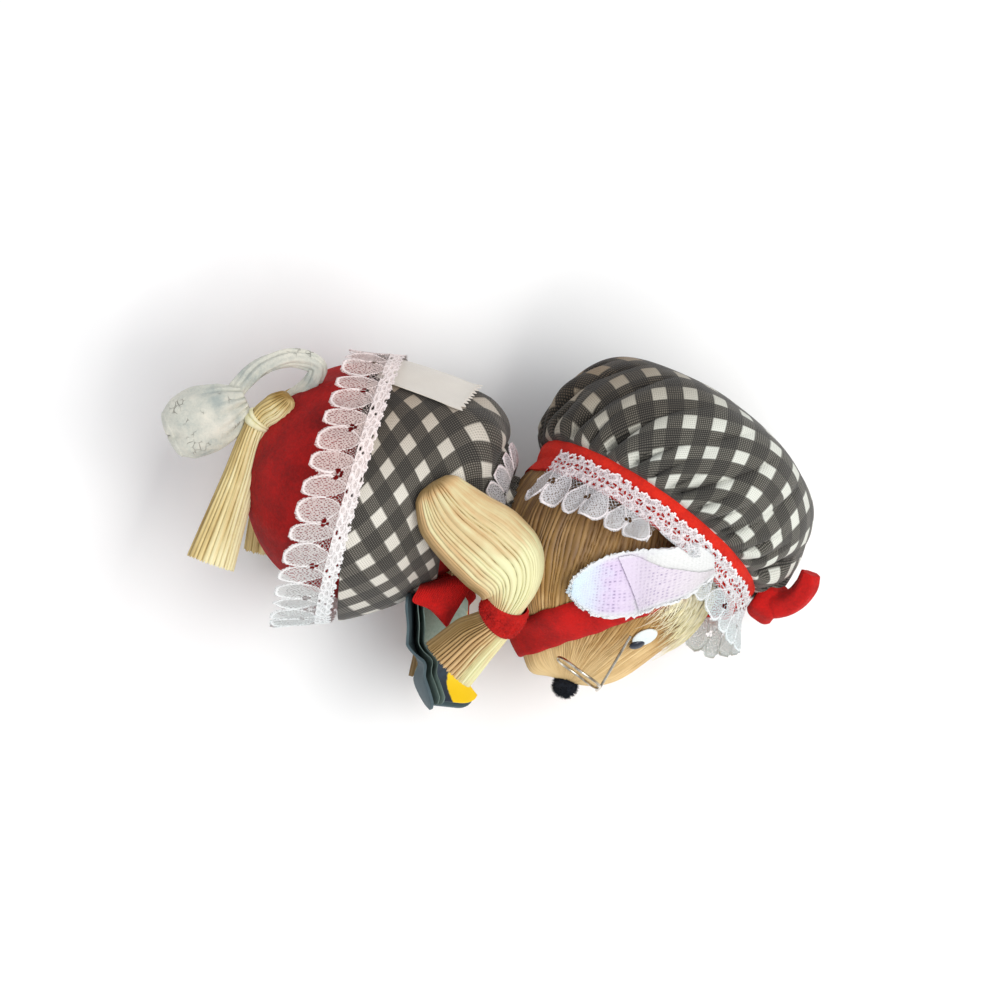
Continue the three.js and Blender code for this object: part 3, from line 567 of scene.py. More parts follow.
# %% Cap crown
CAP_CENTRE = np.array([30.1, 2.9, MIDDLE])
CAP_OUT, CAP_FRONT, CAP_NEAR = directions(54.3, 13)
CAP_RADIUS, CROWN_SWELL, CROWN_HEIGHT = 22.4, 4.8, 24.9
BEND = 20


def on_cap(radius, angle, height):
    return (CAP_CENTRE + (radius * np.cos(angle))[:, None] * CAP_FRONT
            + (radius * np.sin(angle))[:, None] * CAP_NEAR + np.asarray(height)[:, None] * CAP_OUT)


crown_rows = np.array([[-0.15, -0.05], [0.12, -0.045], [0.5, -0.03], [0.8, 0.06], [0.96, 0.18],
                       [1.0, 0.36], [0.74, 0.58], [0.05, 0.78], [-1.75, 0.93], [-3.3, 0.985],
                       [-CAP_RADIUS / CROWN_SWELL, 1.0]])
crown_rows = np.column_stack([CAP_RADIUS + crown_rows[:, 0] * CROWN_SWELL, crown_rows[:, 1] * CROWN_HEIGHT])
steps = smooth_line(crown_rows, np.linspace(0, 1, 400))
walked = np.concatenate([[0], np.cumsum(np.linalg.norm(np.diff(steps, axis=0), axis=1))])
CROWN_CLOTH = walked[-1]


def crown_folds(u, v):
    """The short folds of the gathers and the long ones on the crown: 0 to 1, and how strong."""
    here = v * CROWN_CLOTH
    drift = 0.02 * np.sin(10 * math.pi * u + 1) * v + 0.16 * v
    start = np.clip((here - 2.2) / 3.0, 0, 1) ** 1.5
    uneven = 0.55 + 0.45 * np.sin(26 * math.pi * u + 2) * np.sin(10 * math.pi * u)
    return (ripple(u + drift, 31, 3, 0.5), start * np.exp(-((here - 4) / 5.5) ** 2),
            ripple(u + 1.3 * drift, 14, 5, 0.45), start * uneven * np.exp(-((here - 6) / 12.0) ** 2))


# Painted shade in the creases of the gathers and the long folds.
def crown_crease_shade(u, v):
    short, near_band, long, on_crown = crown_folds(u, v)
    return np.maximum(np.clip(1 - 1.8 * short, 0, 1) * near_band, np.clip(1 - 1.7 * long, 0, 1) * on_crown)


def crown_shape(u, v):
    angle = 2 * math.pi * u
    here = v * CROWN_CLOTH
    radius = np.interp(here, walked, steps[:, 0])
    height = np.interp(here, walked, steps[:, 1])
    short, near_band, long, on_crown = crown_folds(u, v)
    fold = 2.4 * (short - 0.72) * near_band + 5.6 * (long - 0.8) * on_crown
    billow = (0.35 * np.sin(7 * angle + 2 * v) * np.sin(math.pi * v)
              + 0.25 * np.sin(11 * angle + 5 * v) * on_crown)
    folded = radius + (fold + billow) * np.clip(radius / CAP_RADIUS, 0, 1)
    over_band = (CAP_RADIUS + 1.5) * np.clip(1 - (height - 0.5) / 9, 0, 1) * (v < 0.5)
    points = on_cap(np.maximum(folded, np.minimum(over_band, radius)), angle, height)
    return eased(points, 0.1, 0.35)


def crown_cloth(u, v):
    """The cut round with its check, bent to bring the light squares nearer to the photograph's."""
    out = (1 - v) * CROWN_CLOTH
    x, y = out * np.cos(2 * math.pi * u), out * np.sin(2 * math.pi * u)
    bent_x, bent_y = BEND * np.tanh(x / BEND), BEND * np.tanh(y / BEND)
    terms = np.column_stack([np.ones_like(x), x, y, bent_x ** 2 / BEND, bent_x * bent_y / BEND,
                             bent_y ** 2 / BEND])
    checks = terms @ np.array([[3.193, -2.278], [0.1283, 0.0455], [-0.0495, 0.1581], [-0.0154, 0.0433],
                               [0.0176, 0.0361], [-0.0175, -0.0507]])
    return checks[:, 0] * CHECK, checks[:, 1] * CHECK


def crown_age_and_shade(u, v):
    """The cotton has browned at the back of the cap, and painted shade darkens it there, on the side away
    from the light.
    """
    x, y = crown_shape(u, v)[:, :2].T
    return np.clip(1.15 - ((x - 13) * 0.45 + (32 - y) * 1.1) / 24, 0, 1)


crown = sheet_grid("Cap_crown", 600, 120, crown_shape, crown_cloth,
                   marks={"Crease_shade": crown_crease_shade, "Age_and_shade": crown_age_and_shade})
weld(crown, close_ends=True)
print("crown:", len(crown.data.polygons), "faces, cloth radius", round(CROWN_CLOTH, 1), "mm")


def finish_piece(piece, look, slot, *nodes, smooth=True):
    """The last step of every piece: material, smooth shading, and its place in the frame."""
    piece.data.materials.clear()
    piece.data.materials.append(look)
    if smooth:
        deselect()
        bpy.context.view_layer.objects.active = piece
        piece.select_set(True)
        bpy.ops.object.shade_smooth_by_angle(angle=math.radians(50))
    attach(piece, "root")
    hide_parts(*nodes)
    return piece


finish_piece(crown, cap_gingham, "gingham", "cap_crown")

# %% [markdown]
# The band is a strip of thick felt. It is pushed out a little by the gathers behind it, and its
# cut edges are not quite straight.

# %% Cap band
def band_shape(u, v):
    angle = 2 * math.pi * u
    bulge = 0.2 * (ripple(u, 24, 9) - 0.5) * (1 - v) + 0.9 * np.sin(math.pi * np.clip(v * 1.6, 0, 1)) ** 0.7
    radius = CAP_RADIUS + 0.7 + bulge
    height = 0.4 - 7.4 * v + 0.15 * np.sin(9 * angle) * (1 - v) + 0.1 * np.sin(14 * angle + 1)
    return clear_of_head(on_cap(radius, angle, height), 0.25)


band = sheet_grid("Cap_band", 220, 22, band_shape, lambda u, v: (u * 140, v * 7.4), closed=True)
edit(band, lambda: bpy.ops.mesh.normals_make_consistent(inside=False))
thicken(band, 0.9)
finish_piece(band, red_felt, "red_felt", "cap_band")

# %% [markdown]
# ## Head
#
# A round core is covered with one pleated husk leaf, which is gathered under the nose and
# carried back over the cheeks into the cap. All its pleats therefore start at the nose. So the
# grid is wrapped around the head with the nose as its pole, and the pleats follow its lines.

# %% Head
nose_way = way_of(NOSE_TURN, 0)[0]
nose_side = np.array([-nose_way[1], nose_way[0], 0])


def head_pleats(u, v):
    wander = 0.0016 * np.sin(9 * math.pi * v + 28 * math.pi * u) * np.sin(math.pi * v)
    return ripple(u + wander, 150, 11, 0.45)


def head_shape(u, v):
    around, away = 2 * math.pi * u, math.pi * v
    ring = np.cos(around)[:, None] * nose_side + np.sin(around)[:, None] * np.array([0, 0, 1.0])
    way = unit(np.cos(away)[:, None] * nose_way + np.sin(away)[:, None] * ring)
    depth = 0.42 * np.clip(np.sin(away) * 1.6, 0, 1)
    wide = 0.25 * np.sin(22 * around + 3 * away) * np.sin(away)
    return head_points(way, -0.25 + depth * (head_pleats(u, v) - 0.6) + wide * 0.5)


# Painted shade in the creases of the pleats, weaker near the nose.
def head_crease_shade(u, v):
    return np.clip(1 - 1.5 * head_pleats(u, v), 0, 1) * np.clip(v * 7, 0.25, 1)


def head_age_and_shade(u, v):
    """The husk is darkest at the back of the head and palest on the snout: older husk, with painted shade
    towards the back and painted light on the snout.
    """
    return np.clip((v - 0.22) / 0.4, -0.7, 1) * 0.8


head = sheet_grid("Head", 900, 104, head_shape, lambda u, v: (u * 132, v * 66),
                  marks={"Crease_shade": head_crease_shade, "Age_and_shade": head_age_and_shade})
weld(head, close_ends=True)
finish_piece(head, head_husk, "husk_head", "head")

# %% [markdown]
# ## Body and dress
#
# The lower body is a stuffed ball of red plush, which shows below the hem. The dress is one
# piece of gingham on the bias, gathered at the neck, which lies over it.

# %% Stuffed body
BODY_RADIUS, BODY_CENTRE, BODY_BACK, BODY_TOP = 22.6, 29.3, 0.9, 5.0


def body_shape(u, v):
    angle = 2 * math.pi * u
    turn = math.pi * (0.5 - v)
    out = BODY_RADIUS * np.cos(turn)
    down = np.where(v < 0.5, BODY_RADIUS, BODY_CENTRE - BODY_TOP) * np.sin(turn)
    lump = (0.35 * np.sin(4 * angle + 7 * v) + 0.3 * np.sin(7 * angle - 9 * v)
            + 0.15 * np.sin(15 * angle + 17 * v))
    out = np.where(v > 0.5, out * 0.92, out) + (lump - 0.3) * np.cos(turn)
    return eased(in_body(BODY_CENTRE + down, BODY_BACK + out * np.cos(angle), out * np.sin(angle)), 0.4, 0.4)


body = sheet_grid("Body", 220, 130, body_shape, lambda u, v: (u * 142, v * 70))
weld(body, close_ends=True)
finish_piece(body, red_plush, "red_plush", "body")

# %% Dress
DRESS_LENGTH, HEM_SLANT = 30.5, -13.5
DRESS_ROWS = [(0, 0, 13, 13, 14), (0.09, 0.3, 14.54, 14.54, 10), (0.235, 2.2, 21.36, 21.36, 6),
              (0.36, 3.5, 33.68, 33.68, 0), (0.64, 2.9, 41.3, 41.72, -2), (1, 0, 50, 51, HEM_SLANT)]
DRESS_STATIONS = [(in_body(share * DRESS_LENGTH, back), wide, deep, slant)
                  for share, back, wide, deep, slant in DRESS_ROWS]


def dress_points(t, angle, grow=0.0):
    """The dress's surface: gathered at the neck and in soft folds at the hem."""
    swell = 1 + 0.012 * t * np.cos(6 * angle)
    gather = 0.9 * (ripple(angle / (2 * math.pi), 26, 21, 0.8) - 0.6) * np.exp(-(t / 0.34) ** 2)
    soft = 0.3 * np.sin(9 * angle + 8 * t) * np.sin(math.pi * t)
    return eased(tube_points(DRESS_STATIONS, t, angle, grow + gather + soft, swell), 0.9)


def dress_cloth(u, v):
    """The dress's check on the bias, laid on a part of a ring from the neck out. The numbers in
    the last line were fitted to 14 light squares in the photograph, and miss them by a fifth of
    a repeat on average."""
    down = smooth_line([[row[0]] for row in DRESS_ROWS], v)[:, 0]
    turn, out = (u - 0.25) * 1.8, 60 - (1 - down) * 38
    x, y = out * np.sin(turn), out * np.cos(turn)
    return (-4.4875 - 0.1311 * x + 0.1384 * y) * CHECK, (7.8953 - 0.1965 * x - 0.1161 * y) * CHECK


def dress_age_and_shade(u, v):
    """The dress has browned at the back, above its label, and painted shade darkens it there, away from the
    light.
    """
    x, y = dress_points(v, 2 * math.pi * u)[:, :2].T
    return np.clip(0.75 - ((x + 16) * 0.3 + (26 - y)) / 26, 0, 1)


dress = sheet_grid("Dress", 320, 90, lambda u, v: dress_points(v, 2 * math.pi * u), dress_cloth, closed=True,
                   marks={"Age_and_shade": dress_age_and_shade})
edit(dress, lambda: bpy.ops.mesh.normals_make_consistent(inside=False))
thicken(dress, 0.4)
finish_piece(dress, dress_gingham, "gingham", "dress")
print("dress:", len(dress.data.polygons), "faces")

# %% [markdown]
# ## Lace
#
# Machine lace is a fine net with a thicker cord around each petal. From this near, an alpha
# pattern alone would look printed. So the lace is a fine grid: the cords stand out as relief,
# the larger holes are really cut out, and only the finest net is left to the material, which
# reads where the cords are from an attribute of the mesh.

# %% The lace pattern
PETAL_PITCH = 4.4
BRAID_WIDTH = 4.4
UNCUT = 20.0
LACE_CELL = 0.165


def lace_pattern(s, w, header="stitch", merged=0.0, limit=UNCUT):
    """Cord (0 to 1) and hole (true or false) at s along and w across the lace, in millimetres.
    The petals are merged at their ends by that much, and the lace ends at the limit."""
    pitch = PETAL_PITCH
    s = s + 0.3 * np.sin(0.83 * s) + 0.15 * np.sin(2.3 * s + 1)
    off = s - np.round(s / pitch) * pitch
    number = np.floor(s / pitch)
    between = s - (number + 0.5) * pitch
    half = 0.5 * pitch * (1 - 0.62 * np.clip((7.6 - w) / 3.4, 0, 1))
    petal = (np.abs(off / half) ** 2.4 + np.abs((w - 7.45) / 3.5) ** 2.4) ** (1 / 2.4)
    cord = np.exp(-((petal - 0.94) / 0.055) ** 2) * (w > 4.0)
    net = (np.abs(np.sin(math.pi * (s + w) / 0.8)) < 0.3) | (np.abs(np.sin(math.pi * (s - w) / 0.8)) < 0.3)
    gap = (petal > 1.02) & (w > 4.3)
    large = gap & (w < 7.6) & (number % 2 == 0) & ~net
    heart = (((np.abs(between) - 0.42) / 0.36) ** 2 + ((w - 6.7) / 0.4) ** 2 < 1) | (
        (np.abs(between) < 0.3) & (np.abs(w - 6.1) < 0.3))
    heart = heart & (number % 2 == 1)
    picot = gap & (w > 8.2) & (w < 9.4) & (np.abs(np.abs(between) - 0.3) < 0.2)
    outside = (petal > 1.06) & (w > 9.4 + merged)
    braid = w < BRAID_WIDTH
    curls, small = np.zeros_like(s), np.zeros(len(s), bool)
    for row, shift in ((1.0, 0.0), (2.4, 0.5), (3.7, 0.1)):
        k = np.round(s / 2.05 - shift)
        x = (s - (k + shift) * 2.05 - 0.25 * np.sin(12.9 * k + row)) / 1.02
        y = (w - row - 0.2 * np.sin(7.3 * k + 2 * row)) / 0.8
        ring = np.hypot(x, y)
        curls = np.maximum(curls, np.exp(-((ring - 0.85) / 0.2) ** 2))
        if header == "flower":
            spin = np.arctan2(y, x) + 1.7 * k
            small |= (ring > 0.3) & (ring < 0.78) & (np.cos(3 * spin) > -0.35) & (row > 1.5) & (row < 3.5)
            small |= (ring < 0.34) & (np.sin(5.1 * k + row) > 0.1) & ((row < 1.5) | (row > 3.5))
        else:
            small |= (ring < 0.38) & (np.sin(4.7 * k + 1.9 * row) > 0.72)
    wavy = 0.3 + 0.28 * np.sin(2.9 * s) + 0.15 * np.sin(7.7 * s)
    thread = 0.75 * curls if header == "flower" else 0.4 + 0.6 * curls
    cord = np.where(braid, np.maximum(thread, 1.0 * (w < wavy + 0.3)), cord)
    return cord, large | heart | picot | outside | (small & braid) | (w < wavy) | (w > limit)


def lace(title, length, width, place, header="stitch", start=0.0, flip=False,
         merged=lambda s: 0.0, limit=lambda s: UNCUT):
    """A strip of lace laid on place(s, w), with its holes cut out."""
    across, along = int(length / LACE_CELL), int(width / LACE_CELL)
    pattern = lambda s, w: lace_pattern(s, w, header, merged(s), limit(s))
    def shape(u, v):
        return place(u * length, v * width, 0.25 * pattern(u * length, start + v * width)[0])
    piece = sheet_grid(title, across, along, shape, lambda u, v: (u * length, start + v * width), flip=flip,
                       marks={"Cord": lambda u, v: pattern(u * length, start + v * width)[0]})
    middle = np.empty(len(piece.data.loops) * 2)
    piece.data.uv_layers[0].data.foreach_get("uv", middle)
    middle = middle.reshape(-1, 4, 2).mean(axis=1)
    hole = pattern(middle[:, 0], middle[:, 1])[1]
    deselect()
    bpy.context.view_layer.objects.active = piece
    piece.select_set(True)
    bpy.ops.object.mode_set(mode="EDIT")
    bpy.ops.mesh.select_mode(type="FACE")
    bpy.ops.mesh.select_all(action="DESELECT")
    bpy.ops.object.mode_set(mode="OBJECT")
    piece.data.polygons.foreach_set("select", hole)
    bpy.ops.object.mode_set(mode="EDIT")
    bpy.ops.mesh.delete(type="FACE")
    bpy.ops.mesh.select_mode(type="VERT")
    bpy.ops.object.mode_set(mode="OBJECT")
    print(title, len(piece.data.polygons), "faces after", int(hole.sum()), "holes' faces were cut")
    return piece


# %% Lace material
def make_lace_look(name, cord_light_tints, net_light_tints, net_open, veil):
    """Two colours each for cord and net: the first at the back of the mouse, the second in front. Their
    change is painted light, which tints the lace pinker at the back and bluer in front.
    """
    made, n, principled = material(name, 0.85, Sheen_Weight=0.15)
    cord = n.add("Attribute", attribute_name="Cord").outputs["Fac"]
    place = n.add("SeparateXYZ", {0: object_place(n)})
    front = n.math("ADD", n.math("MULTIPLY", place.outputs["Y"], -28.0), 0.35, clamp=True)
    parts = n.add("SeparateXYZ", {0: cloth_place(n)})
    fine = n.noise(cloth_place(n), 2.6, 3.0, 0.7)
    warp = n.math("MULTIPLY", n.math("SUBTRACT", n.noise(cloth_place(n), 1.3, 2.0), 0.5), 1.6)
    lines = []
    for way in ("ADD", "SUBTRACT"):
        slant = n.math(way, n.math(way, parts.outputs["X"], parts.outputs["Y"]), warp)
        lines.append(n.math("ABSOLUTE", n.math("SINE", n.math("MULTIPLY", slant, math.pi / 0.62))))
    dot = n.math("SUBTRACT", n.math("MULTIPLY", lines[0], lines[1]), n.math("SUBTRACT", 0.95, fine))
    dot = n.math("MULTIPLY", dot, 2.4, clamp=True)
    off_cord = n.math("SUBTRACT", 1.0, cord, clamp=True)
    solid = n.math("SUBTRACT", 1.0, n.math("MULTIPLY", dot, off_cord), clamp=True)
    clear = n.math("ADD", n.math("MULTIPLY", n.math("SUBTRACT", 1.0, solid), net_open),
                   n.math("MULTIPLY", off_cord, veil))
    colour(n, principled, n.math("SUBTRACT", 1.0, clear, clamp=True), "Alpha")
    # Painted light: the cord and net colours shift from the back of the mouse to the front.
    cords = n.mix(front, srgb(cord_light_tints[0]), srgb(cord_light_tints[1]))
    nets = n.mix(front, srgb(net_light_tints[0]), srgb(net_light_tints[1]))
    frayed = n.math("ADD", cord, n.math("MULTIPLY", n.math("SUBTRACT", fine, 0.5), 0.5))
    colour(n, principled, n.mix(n.math("MULTIPLY", frayed, 1.2, clamp=True), nets, cords))
    bump(n, principled, n.math("ADD", fine, solid), 0.15, 0.6)
    return made


hem_lace_look = make_lace_look("Hem lace", ("f6e9e7", "f2f8f9"), ("d3bdb8", "ccd7d7"), 0.7, 0.1)
brim_lace_look = make_lace_look("Brim lace", ("f3e6e8", "dfe8ea"), ("cfc9cd", "ccd9db"), 0.6, 0.17)

# %% [markdown]
# The hem's lace hangs past the dress's hem, over the red plush, which shows in its gaps. It is a
# strip around the whole dress, laid on a wider oval than the hem. A known fault: its header stands
# 1.2 to 2.5 mm off the dress, and from behind that shows as a slit on the belly side.

# %% Hem lace
HEM_LACE_WIDTH = 11.0
HEM_LACE_STATIONS = [(in_body(DRESS_LENGTH - 2.2 + share * HEM_LACE_WIDTH, -1.4 * share),
                      50 + 2 * (0.8 + 0.8 * share), 51 + 2 * (0.8 + 0.8 * share), HEM_SLANT - 0.5 * share)
                     for share in (0, 0.35, 1)]
HEM_ROUND = 36 * PETAL_PITCH


def hem_lace_place(s, w, relief):
    share = w / HEM_LACE_WIDTH
    angle = 2 * math.pi * s / HEM_ROUND
    ruffle = 0.35 * share * np.sin(24 * angle) + 0.4 * share * np.sin(7 * angle + 1)
    curl = 0.35 * np.sin(2 * math.pi * s / PETAL_PITCH) * share
    return eased(tube_points(HEM_LACE_STATIONS, share, angle, ruffle + 0.2 * curl + relief), 0.15, 0.5)


hem_lace = lace("Hem_lace", HEM_ROUND, HEM_LACE_WIDTH, hem_lace_place)
weld(hem_lace)
edit(hem_lace, lambda: bpy.ops.mesh.normals_make_consistent(inside=False))
finish_piece(hem_lace, hem_lace_look, "lace", "hem_lace")

# %% [markdown]
# The brim's lace hangs from the felt band. Its header lies on the felt, which shows red through
# the little flowers of the net. Its petals then fall against the head.

# %% Brim lace
BRIM_END = math.acos(-0.86)
BRIM_ROUND, BRIM_WIDTH = 24.0, 11.0
EAR_ROOT_TURN, EAR_ROOT_HALF = 71, 15


def brim_place(s, w, relief):
    angle = s / BRIM_ROUND - BRIM_END
    turned = np.degrees(np.abs(angle))
    share = np.interp(turned, [0, 30, 48, 62, 90, 120, 150], [0.85, 0.98, 0.88, 0.68, 0.82, 1.0, 1.12])
    petals = (w - BRAID_WIDTH) * (BRIM_WIDTH * share - BRAID_WIDTH) / 6.6
    fall = np.where(w < BRAID_WIDTH, w, BRAID_WIDTH + petals)
    front = np.exp(-(turned / 26) ** 2)
    ruffle = (0.8 * np.sin(13 * angle + 0.6) + 0.5 * np.sin(29 * angle)) * (w / BRIM_WIDTH) ** 1.2
    under_ear = np.exp(-((turned - 67) / 17) ** 4) * np.clip((w - 3.5) / 3, 0, 1)
    ruffle = ruffle * np.where(turned < 65, 0.5, 1.0)
    radius = 24.1 + (0.7 + 3.2 * front) * (w / BRIM_WIDTH) ** 1.5 + ruffle - 3.2 * under_ear + relief
    height = -2.9 - fall + 0.15 * np.sin(17 * angle)
    return eased(clear_of_head(on_cap(radius, angle, height), 0.55 + relief), 0.2, 0.4)


def brim_merged(s):
    """The petals run into one another at the front, where the lace hangs in a fold."""
    return 1.3 * np.exp(-(np.degrees(s / BRIM_ROUND - BRIM_END) / 40) ** 2)


def brim_limit(s):
    """The petals are cut away where the right ear is sewn on, over the lace's header."""
    from_root = np.abs(np.degrees(s / BRIM_ROUND - BRIM_END) - EAR_ROOT_TURN)
    return np.where(from_root < EAR_ROOT_HALF, BRAID_WIDTH + 0.2, UNCUT)


brim_lace = lace("Brim_lace", 2 * BRIM_ROUND * BRIM_END, BRIM_WIDTH, brim_place, header="flower", flip=True,
                 merged=brim_merged, limit=brim_limit)
finish_piece(brim_lace, brim_lace_look, "lace", "cap_lace")

# %% [markdown]
# A narrow row of the same petals stands around the neck as a collar.

# %% Collar lace
COLLAR_ROUND = 18 * PETAL_PITCH


def collar_place(s, w, relief):
    angle = 2 * math.pi * s / COLLAR_ROUND
    t = 0.19 + 0.2 * w / 5.4
    return dress_points(t, angle, 0.7 + relief + 0.5 * np.sin(6 * angle) ** 2 * w / 5.4)


collar = lace("Collar_lace", COLLAR_ROUND, 5.2, collar_place, start=5.5)
weld(collar)
edit(collar, lambda: bpy.ops.mesh.normals_make_consistent(inside=False))
finish_piece(collar, brim_lace_look, "lace", "collar_lace")

# %% [markdown]
# ## Arms and feet
#
# Each limb is a bundle of pleated husk, tied where it narrows and cut off square. One maker
# builds all four: the pleats run along the tube, the near end is rounded over and the cut end
# goes back into itself, so that it looks like many thin leaves and not like a plug. A share
# from 0 to 1 says where the leaf is left smooth, as over an elbow.

# %% Husk bundles
CUT = 0.93


def bundle(title, stations, rows, pleats, depth, seed, pleated=lambda t, angle: 1.0,
           age_and_shade=lambda t, angle: 0.0 * t, late=0.0, clear=None):
    girth_mm = math.pi * max(s[1] + s[2] for s in stations) / 2
    length = float(np.sum([np.linalg.norm(b[0] - a[0]) for a, b in zip(stations, stations[1:])]))
    def fold(u, t):
        wander = 0.004 * np.sin(4 * t + 18 * math.pi * u) + 0.002 * np.sin(11 * t + 6 * math.pi * u)
        return ripple(u + wander, pleats, seed, 0.42)
    def strength(u, t):
        return pleated(t, 2 * math.pi * u) * np.clip(t / 0.04, 0.3, 1)
    def shape(u, v):
        angle = 2 * math.pi * u
        t = np.clip(v / CUT, 0, 1)
        inner = np.clip((v - CUT) / 0.07, 0, 1)
        pleat = (fold(u, t) - 0.7) * strength(u, t) + 0.12 * np.sin(5 * angle + 7 * t)
        rounded = np.sqrt(np.clip(t / 0.05, 0, 1) * (2 - np.clip(t / 0.05, 0, 1)))
        ragged = 0.5 * (ripple(u, 2 * pleats + 3, seed + 2) - 0.5) * np.clip((t - 0.9) / 0.1, 0, 1)
        points = tube_points(stations, t, angle, depth * pleat * rounded, rounded * (1 - 0.75 * inner), late)
        end = unit(stations[-1][0] - stations[-2][0])
        points = points + ((ragged * (1 - inner) - 2.2 * inner * (2 - inner))[:, None]) * end
        return clear(points) if clear else points
    # Painted shade: the creases of the pleats and the inside of the cut end are darker.
    def crease(u, v):
        t = np.clip(v / CUT, 0, 1)
        pleat_shade = np.clip(1 - 1.7 * fold(u, t), 0, 1) * strength(u, t)
        return np.maximum(pleat_shade, np.clip((v - 0.94) / 0.03, 0, 0.8))
    piece = sheet_grid(title, 10 * pleats, rows, shape, lambda u, v: (u * girth_mm, v * length),
                       marks={"Crease_shade": crease, "Age_and_shade": lambda u, v: age_and_shade(v / CUT, 2 * math.pi * u)})
    weld(piece, close_ends=True)
    return piece


SLEEVE_WIDTH, SLEEVE_DEPTH, WRIST_WIDTH, HAND_LENGTH, HAND_WIDTH = 17.5, 10.0, 6.4, 15.0, 11.0


def arm_stations(shoulder, elbow, wrist, tip):
    between = lambda a, b, share: a + (b - a) * share
    slack = np.array([-0.8, -0.7, 0])
    return [(shoulder, 0.42 * SLEEVE_WIDTH, 0.45 * SLEEVE_DEPTH),
            (between(shoulder, elbow, 0.32) + slack, 0.8 * SLEEVE_WIDTH, 0.8 * SLEEVE_DEPTH),
            (between(shoulder, elbow, 0.75), 0.93 * SLEEVE_WIDTH, SLEEVE_DEPTH),
            (elbow, 0.85 * SLEEVE_WIDTH, 0.94 * SLEEVE_DEPTH),
            (wrist, WRIST_WIDTH, WRIST_WIDTH),
            (between(wrist, tip, 0.55), 0.85 * HAND_WIDTH, 0.6 * HAND_WIDTH),
            (tip, HAND_WIDTH, 0.55 * HAND_WIDTH)]


def at(x, y, up):
    return np.array([x, y, MIDDLE + up])


right_way, left_way = unit(np.array([-0.69, -0.66, -0.3])), unit(np.array([-0.1, -0.98, -0.1]))
right_wrist, left_wrist = at(2.4, -15, 15.5), at(-8.4, -13.2, -14)
RIGHT_ARM = arm_stations(at(-11, 9.2, 20.6), at(4, -8, 18),
                         right_wrist, right_wrist + HAND_LENGTH * right_way)
LEFT_ARM = arm_stations(at(-11, 9.2, -20.6), at(-4.4, -5.4, -19.4),
                        left_wrist, left_wrist + HAND_LENGTH * left_way)


def sleeve_pleats(t, angle):
    """Pleated from the shoulder over the inner side, and smooth over the outside of the elbow."""
    outside = np.clip((np.cos(angle) - 0.35 + 0.5 * (0.3 - t)) / 0.3, 0, 1)
    smooth = outside * np.clip(1.6 - 2.2 * np.abs(t - 0.35), 0, 1)
    edge = np.clip((-0.8 - np.cos(angle)) / 0.15, 0, 1)
    hand = np.clip((t - 0.66) / 0.06, 0, 1)
    return np.maximum(1 - 0.85 * np.maximum(smooth, edge), hand) * (1 + 0.9 * hand)


def sleeve_age_and_shade(t, angle):
    """Brown at the shoulder's stitches; painted shade under the sleeve and on one side of the hand, and
    painted light over the elbow.
    """
    hand = np.clip((t - 0.66) / 0.1, 0, 1)
    under = 0.75 * np.clip((-0.72 - np.cos(angle)) / 0.2, 0, 1) * np.clip((0.52 - t) / 0.1, 0, 1)
    elbow = 0.5 * np.exp(-((t - 0.52) / 0.13) ** 2) * np.clip(np.cos(angle) + 0.9, 0, 1)
    return (1.2 * np.exp(-(t / 0.035) ** 2) + (1 - hand) * (under - elbow)
            + hand * np.clip(0.35 - 0.8 * np.cos(angle), -0.3, 1))


right_arm = bundle("Right_arm", RIGHT_ARM, 150, 44, 0.5, 31, sleeve_pleats, sleeve_age_and_shade, 0.07)
left_arm = bundle("Left_arm", LEFT_ARM, 120, 40, 0.45, 41, sleeve_pleats, sleeve_age_and_shade, 0.07,
                  clear=lambda p: eased(p, 0.3, 0.4))
finish_piece(right_arm, sleeve_husk, "husk", "right_arm")
finish_piece(left_arm, sleeve_husk, "husk", "left_arm")

FOOT_LENGTH, FOOT_END, ANKLE = 28.0, 9.0, 4.6


def foot_stations(fold, ankle, way):
    along = lambda share: ankle + share * FOOT_LENGTH * unit(np.array(way))
    return [(fold, 0.7 * ANKLE, 0.5 * ANKLE), (fold + 0.45 * (ankle - fold), 1.2 * ANKLE, 0.8 * ANKLE),
            (ankle, ANKLE, 0.8 * ANKLE), (along(0.45), 0.72 * FOOT_END, 1.1 * ANKLE),
            (along(1), FOOT_END, 1.1 * ANKLE)]


RIGHT_FOOT = foot_stations(at(-37.3, 24.7, 10.5), at(-43, 20.2, 6), (-0.33, -0.93, -0.1))
LEFT_FOOT = foot_stations(at(-34.6, 25.6, -8), at(-40, 21.6, -10.5), (-0.08, -0.9, -0.42))


# Painted shade darkens one side of the foot and painted light lightens the other; the folded end is browner.
def foot_age_and_shade(t, angle):
    return np.clip(-0.55 * np.cos(angle) - 0.1, -0.4, 1) + 0.8 * np.clip((0.2 - t) / 0.2, 0, 1)


right_foot = bundle("Right_foot", RIGHT_FOOT, 130, 26, 0.55, 51, age_and_shade=foot_age_and_shade)
left_foot = bundle("Left_foot", LEFT_FOOT, 100, 24, 0.55, 61, age_and_shade=foot_age_and_shade,
                   clear=lambda p: eased(p, 0.3, 0.4))
finish_piece(right_foot, foot_husk, "husk", "right_foot")
finish_piece(left_foot, foot_husk, "husk", "left_foot")

# %% [markdown]
# The right wrist is tied with looped red yarn and the left one with a ribbed ribbon, whose loose
# end lies over the booklet. The feet are tied with a thin pale strip of husk that goes round twice.

